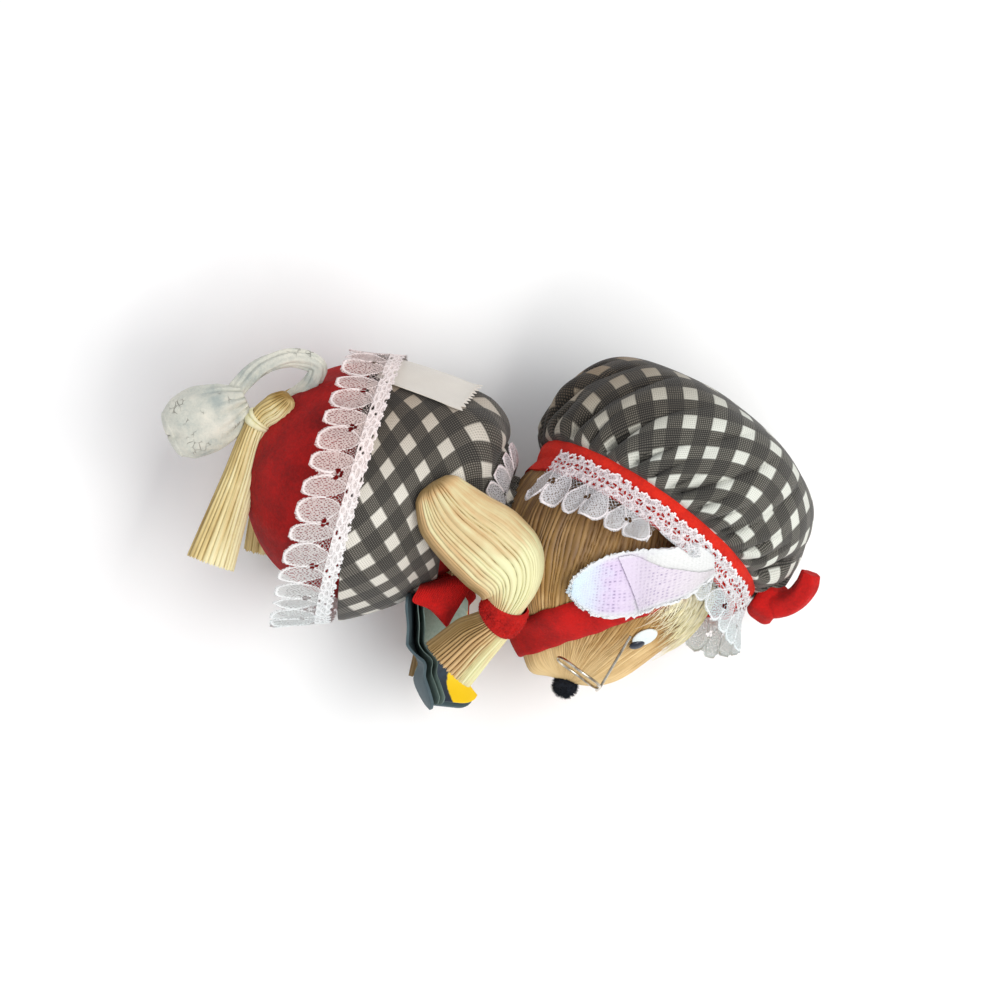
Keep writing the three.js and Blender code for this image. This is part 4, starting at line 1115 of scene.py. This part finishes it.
# %% Ties
def wrap(title, stations, span, thickness, look, slot, node, ribs=0, rough=0.0, turns=1, cells=(150, 26)):
    """A band around a bundle between two shares of its line, with ribs or rough loops."""
    chance = np.random.default_rng(len(title))
    def shape(u, v):
        angle = 2 * math.pi * u
        t = span[0] + (span[1] - span[0]) * (v + 0.12 * np.sin(angle) * (1 if turns == 1 else 0.3))
        strip = np.sin(math.pi * v) ** 0.5 if turns == 1 else np.abs(np.sin(math.pi * turns * v)) ** 0.6
        detail = 0.12 * np.sin(ribs * angle) + rough * chance.normal(size=len(u))
        return tube_points(stations, t, angle, 0.15 + thickness * strip + detail * np.sin(math.pi * v) ** 0.3)
    piece = sheet_grid(title, cells[0], cells[1], shape, lambda u, v: (u * 30, v * 5), closed=True)
    edit(piece, lambda: bpy.ops.mesh.normals_make_consistent(inside=False))
    return finish_piece(piece, look, slot, node)


tie_husk = make_husk("Tie husk", "cfc48c", "e9e2b6", "f7f3d4", streak=0.5)
wrap("Right_wrist_tie", RIGHT_ARM, (0.63, 0.725), 1.2, chenille, "red_chenille", "right_wrist_tie",
     rough=0.13)
wrap("Left_wrist_ribbon", LEFT_ARM, (0.60, 0.78), 1.1, strap_felt, "red_ribbon", "left_wrist_ribbon", ribs=58,
     cells=(360, 26))


def from_view(points):
    """Points that are given by their place from the mouse's neck and their height."""
    return np.array([at(x, y, up - MIDDLE) for x, y, up in points])


RIBBON_LEFT = from_view([(-11.0, -10.0, 17), (-12.7, -9.6, 30), (-13.8, -11.3, 35.7), (-14.6, -13.2, 36.0),
                         (-11.4, -14.8, 35.4), (-8.4, -18.0, 34)])
RIBBON_RIGHT = from_view([(-6.0, -10.0, 17), (-3.8, -8.0, 28), (-2.9, -9.4, 34.0), (-5.2, -13.2, 34.6),
                          (-6.7, -15.6, 34.4), (-8.0, -18.0, 34)])


def ribbon_end_shape(u, v):
    low, high = smooth_line(RIBBON_LEFT, v), smooth_line(RIBBON_RIGHT, v)
    up = 0.9 * np.sin(math.pi * u) ** 0.6 + 0.14 * np.sin(46 * math.pi * u) * np.clip(1.3 - 1.6 * v, 0, 1)
    return low + (high - low) * u[:, None] + np.outer(up, [0, 0, 1])


ribbon_end = sheet_grid("Left_ribbon_end", 230, 60, ribbon_end_shape, lambda u, v: (u * 9, v * 22))
finish_piece(ribbon_end, strap_felt, "red_ribbon")
for side, stations in (("right", RIGHT_FOOT), ("left", LEFT_FOOT)):
    wrap(side.capitalize() + "_foot_tie", stations, (0.45, 0.53), 0.45, tie_husk, "husk",
         side + "_foot_tie", turns=2)

# %% [markdown]
# ## Chin strap
#
# The strap is a cut strip of felt, 7 mm wide, drawn tight under the chin. It follows the head's
# own surface at every point, so it is laid on by solving for the direction in which the head
# meets each line across the strap.

# %% Chin strap
STRAP_TURN = math.radians(20.3)
strap_across = np.array([-math.sin(STRAP_TURN), math.cos(STRAP_TURN), 0])
strap_along = np.array([-math.cos(STRAP_TURN), -math.sin(STRAP_TURN), 0])
strap_off = float(strap_across @ (np.array([8.5, -19.0, MIDDLE]) - HEAD_CENTRE))


def strap_shape(u, v):
    around = np.radians(-128 + 256 * u)
    across = 3.5 * (2 * v - 1) + 0.12 * np.sin(40 * u) + 0.07 * np.sin(97 * u)
    ring = np.cos(around)[:, None] * strap_along + np.sin(around)[:, None] * np.array([0, 0, 1.0])
    lean = np.zeros_like(u)
    for _ in range(6):
        way = np.sin(lean)[:, None] * strap_across + np.cos(lean)[:, None] * ring
        reach = np.linalg.norm(head_points(way) - HEAD_CENTRE, axis=1)
        lean = np.arcsin(np.clip((strap_off + across) / reach, -1, 1))
    edge = np.abs(2 * v - 1)
    felt = 0.1 + 1.0 * (1 - edge ** 7) + 0.05 * np.sin(31 * u + 9 * v)
    return head_points(np.sin(lean)[:, None] * strap_across + np.cos(lean)[:, None] * ring, felt)


strap = sheet_grid("Chin_strap", 260, 22, strap_shape, lambda u, v: (u * 90, v * 7), flip=True)
finish_piece(strap, strap_felt, "red_felt", "chin_strap")

# %% [markdown]
# ## Ears
#
# Each ear is a leaf of soft white cloth with a second flap folded over its root. The inside is
# tinted lilac along the fold, with a woven dot. Upper and lower edge are drawn once, and the
# second ear is the same leaf moved to the other side of the head.

# %% Ears
EAR_LENGTH, EAR_WIDTH = 27.0, 12.0
EAR_UPPER = np.array([(14.4, -11.2), (15.5, -8.8), (17.8, -6.7), (21.3, -4.9), (26.9, -3.7), (32.5, -3.5),
                      (37.8, -2.6), (41.0, -4.6)])
EAR_LOWER = np.array([(14.4, -11.2), (15.1, -12.7), (16.6, -14.2), (20.2, -15.9), (26.2, -15.8),
                      (30.3, -14.3), (36.3, -12.1), (41.3, -8.0)])


def ear_leaf(title, side, move, height, start=0.0, lean=0.0, lift=0.0, rim=0.0, crest=(1.0, 1.0),
             fringe=0.14):
    """A leaf between the ear's edges, from a share of its length, kept in from them by a rim."""
    chance = np.random.default_rng(len(title))
    share_of = lambda u, v: (start + lean * (0.5 - v)) + (1 - start - lean * (0.5 - v)) * u
    def shape(u, v):
        share = share_of(u, v)
        low, high = smooth_line(EAR_LOWER, share), smooth_line(EAR_UPPER, share)
        inner = rim + (np.interp(share, [start, 1], crest) - 2 * rim) * v
        place = low + (high - low) * inner[:, None]
        edge = np.abs(2 * inner - 1)
        cup = (1.1 * edge ** 3 * np.sin(math.pi * np.clip(share, 0.05, 1))
               - 0.6 * np.exp(-((share - 0.57) / 0.07) ** 2))
        z = height + side * (lift + cup + 1.9 * share ** 2 - 0.2)
        points = np.column_stack([place + move, z])
        ragged = np.where((np.abs(2 * v - 1) > 0.97) | (u < 0.012) & (start == 0), fringe, 0.02)
        return points + chance.normal(size=points.shape) * ragged[:, None]
    def cloth(u, v):
        share = share_of(u, v)
        return share * EAR_LENGTH, (rim + (np.interp(share, [start, 1], crest) - 2 * rim) * v) * EAR_WIDTH
    return sheet_grid(title, 110, 64, shape, cloth, flip=side < 0)


def make_ear_look(name, stops, dotted):
    made, n, principled = material(name, 0.95, Sheen_Weight=0.15, Sheen_Roughness=0.6)
    parts = n.add("SeparateXYZ", {0: cloth_place(n)})
    drift = n.math("MULTIPLY", n.math("SUBTRACT", n.noise(cloth_place(n), 0.3, 2.0), 0.5), 5.0)
    reach = n.math("DIVIDE", n.math("ADD", parts.outputs["X"], drift), EAR_LENGTH)
    base = n.ramp(reach, [(at, srgb(code)) for at, code in stops])
    edge = n.math("ABSOLUTE", n.math("SUBTRACT", n.math("DIVIDE", parts.outputs["Y"], EAR_WIDTH), 0.5))
    rim = n.math("MULTIPLY", n.math("SUBTRACT", edge, 0.38), 9.0, clamp=True)
    base = n.mix(rim, base, srgb("e3e5e6"))
    weave = n.use(WEAVE, {"Vector": cloth_place(n), "Thread": 0.62})
    from_band = n.math("ABSOLUTE", n.math("SUBTRACT", reach, dotted))
    band = n.math("SUBTRACT", 1.0, n.math("MULTIPLY", from_band, 6.0), clamp=True)
    some = n.math("MULTIPLY", n.math("SUBTRACT", n.noise(cloth_place(n), 1.1, 3.0), 0.42), 6.0, clamp=True)
    dots = n.math("MULTIPLY", n.math("MULTIPLY", weave["Open"], some), band)
    dots = n.math("MULTIPLY", dots, 1.3, clamp=True)
    colour(n, principled, n.mix(n.math("MULTIPLY", dots, n.math("SUBTRACT", 1.0, rim)), base, srgb("9584ab")))
    fuzz = n.noise(object_place(n), 2600.0, 3.0)
    bump(n, principled, n.math("ADD", weave["Height"], fuzz), 0.12, 0.5)
    return made


ear_look = make_ear_look("Ear cloth", [(0.22, "d9eaf4"), (0.36, "d6dcec"), (0.47, "d9c9e4"),
                                       (0.56, "dccfe4"), (0.63, "e4e5e4")], 0.46)
flap_look = make_ear_look("Ear flap", [(0.55, "d9cde0"), (0.75, "dfd5e1"), (0.95, "dfdadd")], 0.72)
for name, side, move, height in (("right", 1, (0, 0), 48.0), ("left", -1, (-4.9, -6.5), 6.6)):
    leaf = ear_leaf(name.capitalize() + "_ear", side, move, height)
    thicken(leaf, 0.45)
    finish_piece(leaf, ear_look, "ear_cloth", name + "_ear")
    flap = ear_leaf(name.capitalize() + "_ear_flap", side, move, height, start=0.55, lean=0.12, lift=0.55,
                    rim=0.04, crest=(0.98, 0.3), fringe=0.03)
    finish_piece(flap, flap_look, "ear_cloth")

# %% [markdown]
# ## Eyes, nose and hair
#
# The eyes are ovals of white felt with a glossy dark pupil low on them. The nose is a pompom:
# hundreds of short wool fibres around a core. Hair is made in the same way from longer strands,
# which spread from under the brim over the forehead. A fibre is a thin three-sided tube.

# %% Eyes
def dome(title, centre, normal, radii, look, slot, node, cells=(48, 24)):
    """A rounded disc on a surface, given by its centre, the way it faces and its three radii."""
    deselect()
    bpy.ops.mesh.primitive_uv_sphere_add(segments=cells[0], ring_count=cells[1], radius=1, location=(0, 0, 0))
    piece = bpy.context.object
    piece.name = piece.data.name = title
    side = unit(np.cross([0, 0, 1.0], normal))
    over = np.cross(normal, side)
    local = points_of(piece) * np.array(radii)
    put(piece, centre + local[:, :1] * side + local[:, 1:2] * over + local[:, 2:] * normal)
    return finish_piece(piece, look, slot, node)


white_felt, n, principled = material("Eye felt", 0.85, Sheen_Weight=0.4)
fuzz = n.noise(object_place(n), 3000.0, 4.0, 0.7)
colour(n, principled, n.mix(fuzz, srgb("ccd9da"), srgb("eef3f3")))
bump(n, principled, fuzz, 0.1, 0.6)
pupil_gloss, n, principled = material("Pupil", 0.4, Coat_Weight=0.2)
colour(n, principled, n.mix(n.noise(object_place(n), 900.0), srgb("05070d"), srgb("1c2840")))
for name, side in (("right", 1), ("left", -1)):
    way = way_of(-66, side * 35)
    dome(name.capitalize() + "_eye", head_points(way, 0.2)[0], way[0], (2.5, 2.2, 0.6), white_felt,
         "white_felt", name + "_eye")
    way = way_of(-72, side * 33)
    dome(name.capitalize() + "_pupil", head_points(way, 0.6)[0], way[0], (1.5, 1.15, 0.55), pupil_gloss,
         "black_gloss", name + "_pupil", (32, 16))


# %% Fibres, nose and hair
def fibres(title, lines, radius, look, slot, *nodes):
    """One mesh of many thin three-sided tubes. Lines is an array of strands by points by 3."""
    count, steps = lines.shape[:2]
    ahead = unit(np.gradient(lines, axis=1))
    side = unit(np.cross(ahead, [0.31, 0.2, 0.93]))
    over = np.cross(ahead, side)
    taper = radius * (1 - 0.75 * np.linspace(0, 1, steps) ** 2)[None, :, None]
    rings = np.stack([lines + taper * (math.cos(a) * side + math.sin(a) * over)
                      for a in (0, 2 * math.pi / 3, 4 * math.pi / 3)], axis=2)
    number = np.arange(count * steps * 3).reshape(count, steps, 3)
    quads = [np.stack([number[:, :-1, k], number[:, :-1, (k + 1) % 3], number[:, 1:, (k + 1) % 3],
                       number[:, 1:, k]], axis=-1).reshape(-1, 4) for k in range(3)]
    mesh = bpy.data.meshes.new(title)
    mesh.from_pydata(((rings.reshape(-1, 3) + SHIFT) * 0.001).tolist(), [], np.concatenate(quads).tolist())
    mesh.uv_layers.new(name="UVMap")
    piece = bpy.data.objects.new(title, mesh)
    bpy.context.scene.collection.objects.link(piece)
    on_rings = lambda values: np.broadcast_to(values, (count, steps))[:, :, None].repeat(3, 2).reshape(-1)
    across, down = on_rings(np.arange(count)[:, None] * 0.7), on_rings(np.linspace(0, 10, steps))
    paint_uv(piece, np.column_stack([across, down]))
    return finish_piece(piece, look, slot, *nodes)


def scattered(count, seed):
    ways = np.random.default_rng(seed).normal(size=(count, 3))
    return unit(ways)


nose_middle = head_points(way_of(NOSE_TURN, 0), 0.5)[0]
dome("Nose", nose_middle, nose_way, (2.05, 2.05, 2.05), pompom_wool, "pompom", "nose", (40, 20))
tufts = scattered(1500, 71)
bend = scattered(1500, 72) * 0.35
reach = np.linspace(1.7, 2.5, 4)[None, :, None]
fibres("Nose_wool", nose_middle + tufts[:, None] * reach + bend[:, None] * ((reach - 1.7) / 0.9) ** 2, 0.07,
       pompom_wool, "pompom")

strands = 900
chance = np.random.default_rng(7)
roots_rise = chance.uniform(-46, 56, strands)
roots_turn = chance.normal(-22, 5, strands)
share = np.linspace(0, 1, 9)
tips_turn = roots_turn - chance.uniform(8, 34, strands)
tips_rise = roots_rise * chance.uniform(0.9, 1.06, strands) + chance.normal(0, 3.5, strands)
curve = chance.normal(0, 2.2, strands)
turns = roots_turn[:, None] + (tips_turn - roots_turn)[:, None] * share
rises = (roots_rise[:, None] + (tips_rise - roots_rise)[:, None] * share
         + curve[:, None] * np.sin(math.pi * share))
lift = chance.uniform(0.1, 1.5, strands)[:, None] * (0.35 + 0.65 * np.sin(math.pi * share * 0.8))
hair_lines = head_points(way_of(turns.ravel(), rises.ravel()), lift.ravel()).reshape(strands, -1, 3)
fibres("Hair", hair_lines, 0.13, hair_strand, "hair", "hair")

# %% [markdown]
# ## Spectacles
#
# One thin wire is bent into two rings with a bridge and two temples. A curve with a round bevel
# is how Blender makes wire. It is turned into a mesh so that its place can be applied.

# %% Spectacles
wire_metal, n, principled = material("Wire", 0.25, Metallic=1.0)
tarnish = n.noise(object_place(n), 400.0)
colour(n, principled, n.ramp(tarnish, [(0.35, srgb("9c9180")), (0.65, srgb("dcd8cc"))]))
scuffs = n.noise(object_place(n), 1500.0)
colour(n, principled, n.math("ADD", n.math("MULTIPLY", scuffs, 0.25), 0.12), "Roughness")


def wires(title, lines, radius, look, slot, node):
    curve = bpy.data.curves.new(title, "CURVE")
    curve.dimensions, curve.bevel_depth, curve.bevel_resolution = "3D", radius * 0.001, 3
    curve.use_fill_caps = True
    for line, closed in lines:
        spline = curve.splines.new("POLY")
        spline.points.add(len(line) - 1)
        spline.points.foreach_set("co", np.column_stack([(line + SHIFT) * 0.001, np.ones(len(line))]).ravel())
        spline.use_cyclic_u = closed
    piece = bpy.data.objects.new(title, curve)
    bpy.context.scene.collection.objects.link(piece)
    deselect()
    bpy.context.view_layer.objects.active = piece
    piece.select_set(True)
    bpy.ops.object.convert(target="MESH")
    return finish_piece(bpy.context.object, look, slot, node)


LENS_RADIUS, LENS_SPACING = 4.8, 21.0
upright = np.array([math.cos(math.radians(144)), math.sin(math.radians(144)), 0])
outward = np.array([upright[1], -upright[0], 0])
lines = []
corner = np.array([16.3, -26.5, MIDDLE]) - upright * LENS_RADIUS
for side in (1, -1):
    middle = np.array([16.3, -26.5, MIDDLE + side * LENS_SPACING / 2])
    a = np.linspace(0, 2 * math.pi, 64, endpoint=False)
    ring = middle + LENS_RADIUS * (np.cos(a)[:, None] * upright + np.sin(a)[:, None] * np.array([0, 0, 1.0]))
    ring += 0.12 * np.sin(3 * a)[:, None] * outward + side * 0.62 * np.sin(a)[:, None] * outward
    lines.append((ring, True))
    start = middle - upright * LENS_RADIUS
    end = start + np.array([5.7, 9.8, side * 4.0])
    lines.append((smooth_line([start, start + (end - start) * 0.5, end], np.linspace(0, 1, 24)), False))
bridge = [corner + np.array([0, 0, side * LENS_SPACING / 2]) for side in (1, -1)]
lines.append((smooth_line([bridge[0], corner - outward * 0.8, bridge[1]], np.linspace(0, 1, 24)), False))
wires("Spectacles", lines, 0.26, wire_metal, "wire", "spectacles")

# %% [markdown]
# ## Bow
#
# A bow of the same red felt closes the band at the front: two loops, pinched by a knot. Felt is
# stiff, so the loops stay open and end in rounded corners.

# %% Bow
bow_start = on_cap(np.array([CAP_RADIUS + 4.3]), np.array([0.0]), np.array([-1.0]))[0]
BOW_LENGTH = 8.6


def bow_loop(title, side):
    stations = [(bow_start + np.array([x, y, side * up]), wide, deep) for x, y, up, wide, deep in (
        (0, 0.4, 0, 7.4, 5), (0.38 * BOW_LENGTH, -0.4, 2.6, 5.0, 5), (0.7 * BOW_LENGTH, 0.9, 4.6, 4.2, 4.6),
        (0.9 * BOW_LENGTH, 3.2, 5.8, 4.0, 4), (0.99 * BOW_LENGTH, 5.4, 6.4, 3.2, 3))]
    def shape(u, v):
        angle = 2 * math.pi * u
        t = np.clip(v / 0.9, 0, 1)
        close = 1 - 0.9 * np.clip((v - 0.9) / 0.1, 0, 1) ** 2
        aside = (np.mod(angle - 0.8, 2 * math.pi) - math.pi) / 0.4
        crease = 0.55 * np.exp(-aside ** 2) * np.sin(math.pi * t)
        return tube_points(stations, t, angle, -crease + 0.1 * np.sin(5 * angle + 6 * t), close)
    piece = sheet_grid(title, 60, 50, shape, lambda u, v: (u * 20, v * 10))
    weld(piece, close_ends=True)
    return piece


finish_piece(bow_loop("Bow_near_loop", 1), strap_felt, "red_felt", "cap_bow")
finish_piece(bow_loop("Bow_far_loop", -1), strap_felt, "red_felt")


def knot_shape(u, v):
    around, across = 2 * math.pi * u, 2.6 * (2 * v - 1)
    bulge = 1 - 0.25 * (2 * v - 1) ** 4 + 0.05 * np.sin(6 * around)
    ring = bow_start + np.array([0.6, 0.1, 0])
    return (ring + (4.0 * bulge * np.cos(around))[:, None] * CAP_OUT
            + (3.9 * bulge * np.sin(around))[:, None] * CAP_NEAR + across[:, None] * CAP_FRONT)


knot = sheet_grid("Bow_knot", 70, 20, knot_shape, lambda u, v: (u * 22, v * 5), closed=True)
edit(knot, lambda: bpy.ops.mesh.fill_holes(sides=0),
     lambda: bpy.ops.mesh.normals_make_consistent(inside=False))
finish_piece(knot, strap_felt, "red_felt")

# %% [markdown]
# ## Label
#
# A ribbon label lies on the back of the dress, with a zigzag cut end. Each of its points is
# found by looking from outside straight at the dress, so it drapes over the real folds.

# %% Label
label_way = np.array([math.cos(math.radians(-38)), math.sin(math.radians(-38)), 0])
label_out = np.array([-label_way[1], label_way[0], 0])


def label_shape(u, v):
    zigzag = 0.45 * (np.abs(np.mod(v * 9, 1) - 0.5) * 4 - 1) * np.clip((u - 0.9) / 0.1, 0, 1)
    along, up = (u - 0.5) * 16 - 0.6 + zigzag, 1 + 12 * v
    points = np.empty((len(u), 3))
    for i, (a, z) in enumerate(zip(along, up)):
        origin = np.array([-11, 27.5, MIDDLE + z]) + a * label_way + 12 * label_out
        hit, place, *_ = dress.ray_cast((origin + SHIFT) * 0.001, -label_out)
        points[i] = np.array(place) * 1000 - SHIFT if hit else origin - 14 * label_out
    curl = 0.5 * np.clip((u - 0.85) / 0.15, 0, 1) ** 2 + 0.35 * (2 * v - 1) ** 4
    return points + (0.35 + curl)[:, None] * label_out


label = sheet_grid("Label", 60, 54, label_shape, lambda u, v: (u * 17, v * 13))
edit(label, bpy.ops.mesh.vertices_smooth)
thicken(label, 0.18)
label_cloth, n, principled = material("Label ribbon", 0.5, Sheen_Weight=0.2, Coat_Weight=0.1)
threads = n.use(WEAVE, {"Vector": cloth_place(n), "Thread": 0.14})
wear = n.use(MOTTLE, {"Vector": object_place(n), "Size": 6.0})
colour(n, principled, n.mix(wear["Patch"], srgb("e6e0d6"), srgb("cfc6bc")))
bump(n, principled, threads["Height"], 0.05, 0.5)
finish_piece(label, label_cloth, "label_cloth", "label")

# %% [markdown]
# ## Booklet
#
# Two covers of slate-grey card open from a spine. Between them lie four leaves, with rounded
# corners that have curled with age. One leaf shows its print, which is plain fields of colour.

# %% Booklet
SPINE = np.array([-14.4, -11.7, MIDDLE - 4.5])
PAGE_LENGTH, PAGE_WIDTH = 21.4, 12.2
card, n, principled = material("Cover card", 0.7)
worn = n.use(MOTTLE, {"Vector": object_place(n), "Size": 5.0})
colour(n, principled, n.mix(worn["Patch"], srgb("36464c"), srgb("53686f")))
bump(n, principled, worn["Speck"], 0.06, 0.5)
page_print, n, principled = material("Printed page", 0.6, Coat_Weight=0.15)
page = n.add("SeparateXYZ", {0: cloth_place(n)})
wave = n.math("MULTIPLY", n.noise(cloth_place(n), 0.35, 3.0), 6.0)
height = n.math("DIVIDE", n.math("ADD", page.outputs["Y"], wave), PAGE_LENGTH + 6)
leafy = n.mix(n.noise(cloth_place(n), 1.6, 4.0, 0.7), srgb("6f9482"), srgb("c3d3c6"))
sea = n.mix(n.noise(cloth_place(n), 0.9, 3.0), srgb("101b28"), srgb("2b4254"))
field = n.mix(n.math("MULTIPLY", n.math("SUBTRACT", height, 0.45), 30.0, clamp=True), leafy, sea)
to_corner = n.math("ADD", n.math("DIVIDE", page.outputs["X"], 8.0), height)
sun = n.math("MULTIPLY", n.math("SUBTRACT", to_corner, 1.6), 25.0, clamp=True)
colour(n, principled, n.mix(sun, field, srgb("ffd60a")))
bump(n, principled, n.noise(cloth_place(n), 5.0), 0.04, 0.4)
page_paper, n, principled = material("Plain page", 0.75)
colour(n, principled, n.mix(n.noise(object_place(n), 500.0), srgb("566a66"), srgb("7d9188")))


def leaf(title, lean, bow, size, thickness, look, wave=0.0, node=(), swing=0.0):
    """A leaf or cover that stands from the spine at that angle, bows outwards and is warped. A
    swing turns its upper half further open, and the spine itself is bent at its lower end."""
    wide, long = size
    def shape(u, v):
        corner = np.clip((u - 0.7) / 0.3, 0, 1)
        trim = 2.2 * (1 - np.sqrt(1 - 0.96 * corner ** 2))
        down = trim + (long - 2 * trim) * v + 1.1 * (u - 0.4) * v ** 4
        warp = wave * (np.sin(5.2 * v + 0.4) + 0.5 * np.sin(11 * v + 2)) * u
        opened = swing * np.clip((0.6 - v) / 0.16, 0, 1)
        angle = np.radians(lean + opened) + bow * u ** 1.3 + warp
        bent = 0.9 * np.exp(-((v - 0.63) / 0.08) ** 2) + 2.2 * np.clip((v - 0.76) / 0.24, 0, 1) ** 1.4
        return SPINE + np.column_stack([bent + u * wide * np.cos(angle), -down, u * wide * np.sin(angle)])
    piece = sheet_grid(title, 30, 60, shape, lambda u, v: (u * wide, v * long))
    thicken(piece, thickness, 0.0)
    return finish_piece(piece, look, "paper", *node)


leaf("Booklet_near_cover", 84, 0.02, (PAGE_WIDTH, PAGE_LENGTH), 0.5, card, 0.06, ("booklet",), 8)
leaf("Booklet_far_cover", -48, 0.08, (PAGE_WIDTH, PAGE_LENGTH), 0.5, card, 0.05)
for number, (lean, bow) in enumerate(((79, -0.02), (76, -0.06), (-42, 0.1), (-38, 0.14))):
    leaf(f"Booklet_leaf_{number + 1}", lean, bow, (PAGE_WIDTH - 0.9, PAGE_LENGTH - 0.9), 0.14,
         page_print if number == 3 else page_paper, 0.06, swing=5 if number < 2 else 0)

# %% [markdown]
# ## Tail
#
# The tail is a strip of old white cloth that loops from the body and ends in a stuffed roll,
# which a crease parts into two lobes. Its cloth is worn and cracked.

# %% Tail and roll
tail_cloth, n, principled = material("Tail cloth", 0.92, Sheen_Weight=0.2)
worn = n.use(MOTTLE, {"Vector": object_place(n), "Size": 5.0})
cracks = n.add("TexVoronoi", {"Vector": object_place(n), "Scale": 900.0, "Randomness": 1.0},
               feature="DISTANCE_TO_EDGE").outputs[0]
crack = n.math("MULTIPLY", n.math("SUBTRACT", 0.06, cracks, clamp=True), 16.0, clamp=True)
near = n.noise(object_place(n), 300.0, 2.0)
crack = n.math("MULTIPLY", crack, n.math("MULTIPLY", n.math("SUBTRACT", near, 0.58), 14.0, clamp=True))
base = n.ramp(n.math("ADD", n.math("MULTIPLY", worn["Patch"], 0.8), n.math("MULTIPLY", worn["Speck"], 0.25)),
              [(0.35, srgb("aeb6b1")), (0.5, srgb("d0d1c6")), (0.7, srgb("e9e5d7"))])
colour(n, principled, n.mix(n.math("MULTIPLY", crack, 0.7), base, srgb("7c7461")))
bump(n, principled, n.math("SUBTRACT", worn["Speck"], crack), 0.35, 0.8)

TAIL = [(at(x, y, up), 3.2, 1.9) for x, y, up in
        ((-37.5, 24, 5), (-33.4, 27.2, 8), (-32.2, 30.2, 8.5), (-36.6, 32, 8), (-42.8, 30.2, 6.5),
         (-47, 26.4, 4.5), (-49, 24, 4))]


def tail_shape(u, v):
    angle = 2 * math.pi * u
    ridge = 0.28 * np.cos(3 * angle + 4 * v) + 0.16 * np.sin(7 * angle + 22 * v)
    return tube_points(TAIL, v, angle, ridge * np.sin(math.pi * np.clip(v, 0.02, 0.98)) ** 0.3)


tail = sheet_grid("Tail", 60, 160, tail_shape, lambda u, v: (u * 9, v * 30))
weld(tail, close_ends=True)
finish_piece(tail, tail_cloth, "tail_cloth", "tail")

roll_way = np.array([math.cos(math.radians(24)), math.sin(math.radians(24)), 0])
ROLL = [(at(-52.4, 21, 4) + share * 15 * roll_way, wide, deep) for share, wide, deep in
        ((-0.5, 9.0, 6.5), (-0.36, 12.0, 9.4), (-0.08, 12.9, 10), (0.25, 10.4, 9), (0.5, 5.0, 4.6))]


def roll_shape(u, v):
    angle = 2 * math.pi * u
    t = np.clip((v - 0.12) / 0.88, 0, 1)
    inner = np.clip((0.12 - v) / 0.12, 0, 1)
    rounded = np.sqrt(np.clip(1 - inner ** 2, 0.02, 1))
    crease = 1.5 * np.exp(-((np.mod(angle, 2 * math.pi) - 1.75) / 0.28) ** 2) * np.exp(-t * 2.2)
    gather = 0.5 * (ripple(u, 13, 83) - 0.5) * np.clip((t - 0.55) / 0.45, 0, 1) * 2
    lump = 0.18 * np.sin(3 * angle + 5 * t) + 0.12 * np.sin(7 * angle - 9 * t)
    points = tube_points(ROLL, t, angle, (gather + lump - crease) * rounded, rounded)
    return points - (inner * 1.3 * (1 - 0.5 * np.exp(-((np.cos(angle)) / 0.3) ** 2)))[:, None] * roll_way


roll = sheet_grid("Tail_roll", 160, 120, roll_shape, lambda u, v: (u * 36, v * 16))
weld(roll, close_ends=True)
finish_piece(roll, tail_cloth, "tail_cloth", "tail_roll")

# %% [markdown]
# ## Soft pieces
#
# The crown, the body and the tail's roll are stuffed, and the dress is a gathered sheet with its lace and
# label on it. This script only shapes them and does not make them soft.

# %% [markdown]
# ## Stage
#
# The mouse lies on a pale floor and the camera looks straight down on it through a long lens, as
# in the photograph. A large soft light to the right of it shapes the folds, and a weaker one
# fills the other side.

# %% Camera, lights and floor
PIXELS_PER_MM = 5.35
FRAME_MIDDLE = np.array([(500 - 491) / PIXELS_PER_MM, (530 - 500) / PIXELS_PER_MM, MIDDLE])
centre = (FRAME_MIDDLE + SHIFT) * 0.001
DISTANCE = 1.6
bpy.ops.object.camera_add(location=(centre[0], centre[1], centre[2] + DISTANCE), rotation=(0, 0, 0))
camera = bpy.context.object
camera.data.sensor_width = 36
camera.data.lens = 36 * DISTANCE / (1.0 / PIXELS_PER_MM)
bpy.context.scene.camera = camera

deselect()
bpy.ops.mesh.primitive_grid_add(x_subdivisions=8, y_subdivisions=8, size=6, location=(0, 0, 0))
floor = bpy.context.object
floor.name = "Floor"
floor_look, n, principled = material("Pale floor", 0.8)
tone = n.noise(object_place(n), 30.0, 3.0)
colour(n, principled, n.ramp(tone, [(0.3, (0.95, 0.95, 0.95)), (0.7, (0.98, 0.98, 0.98))]))
floor.data.materials.append(floor_look)


def area_light(title, place, size, watts, tint=(1, 1, 1)):
    deselect()
    bpy.ops.object.light_add(type="AREA", location=place)
    light = bpy.context.object
    light.name, light.data.size, light.data.energy, light.data.color = title, size, watts, tint
    way = np.array([0, 0, 0.02]) - np.array(place)
    light.rotation_euler = (math.atan2(math.hypot(way[0], way[1]), -way[2]), 0, math.atan2(way[0], -way[1]))
    return light


area_light("Key light", (0.5, -0.2, 0.9), 0.8, 14, (1, 0.98, 0.95))
area_light("Fill light", (-0.7, 0.4, 1.0), 1.0, 5, (0.94, 0.97, 1))
world = bpy.data.worlds.new("Studio")
world.use_nodes = True
world.node_tree.nodes["Background"].inputs["Color"].default_value = (0.95, 0.97, 1, 1)
world.node_tree.nodes["Background"].inputs["Strength"].default_value = 0.62
bpy.context.scene.world = world
bpy.context.scene.view_settings.view_transform = "Standard"
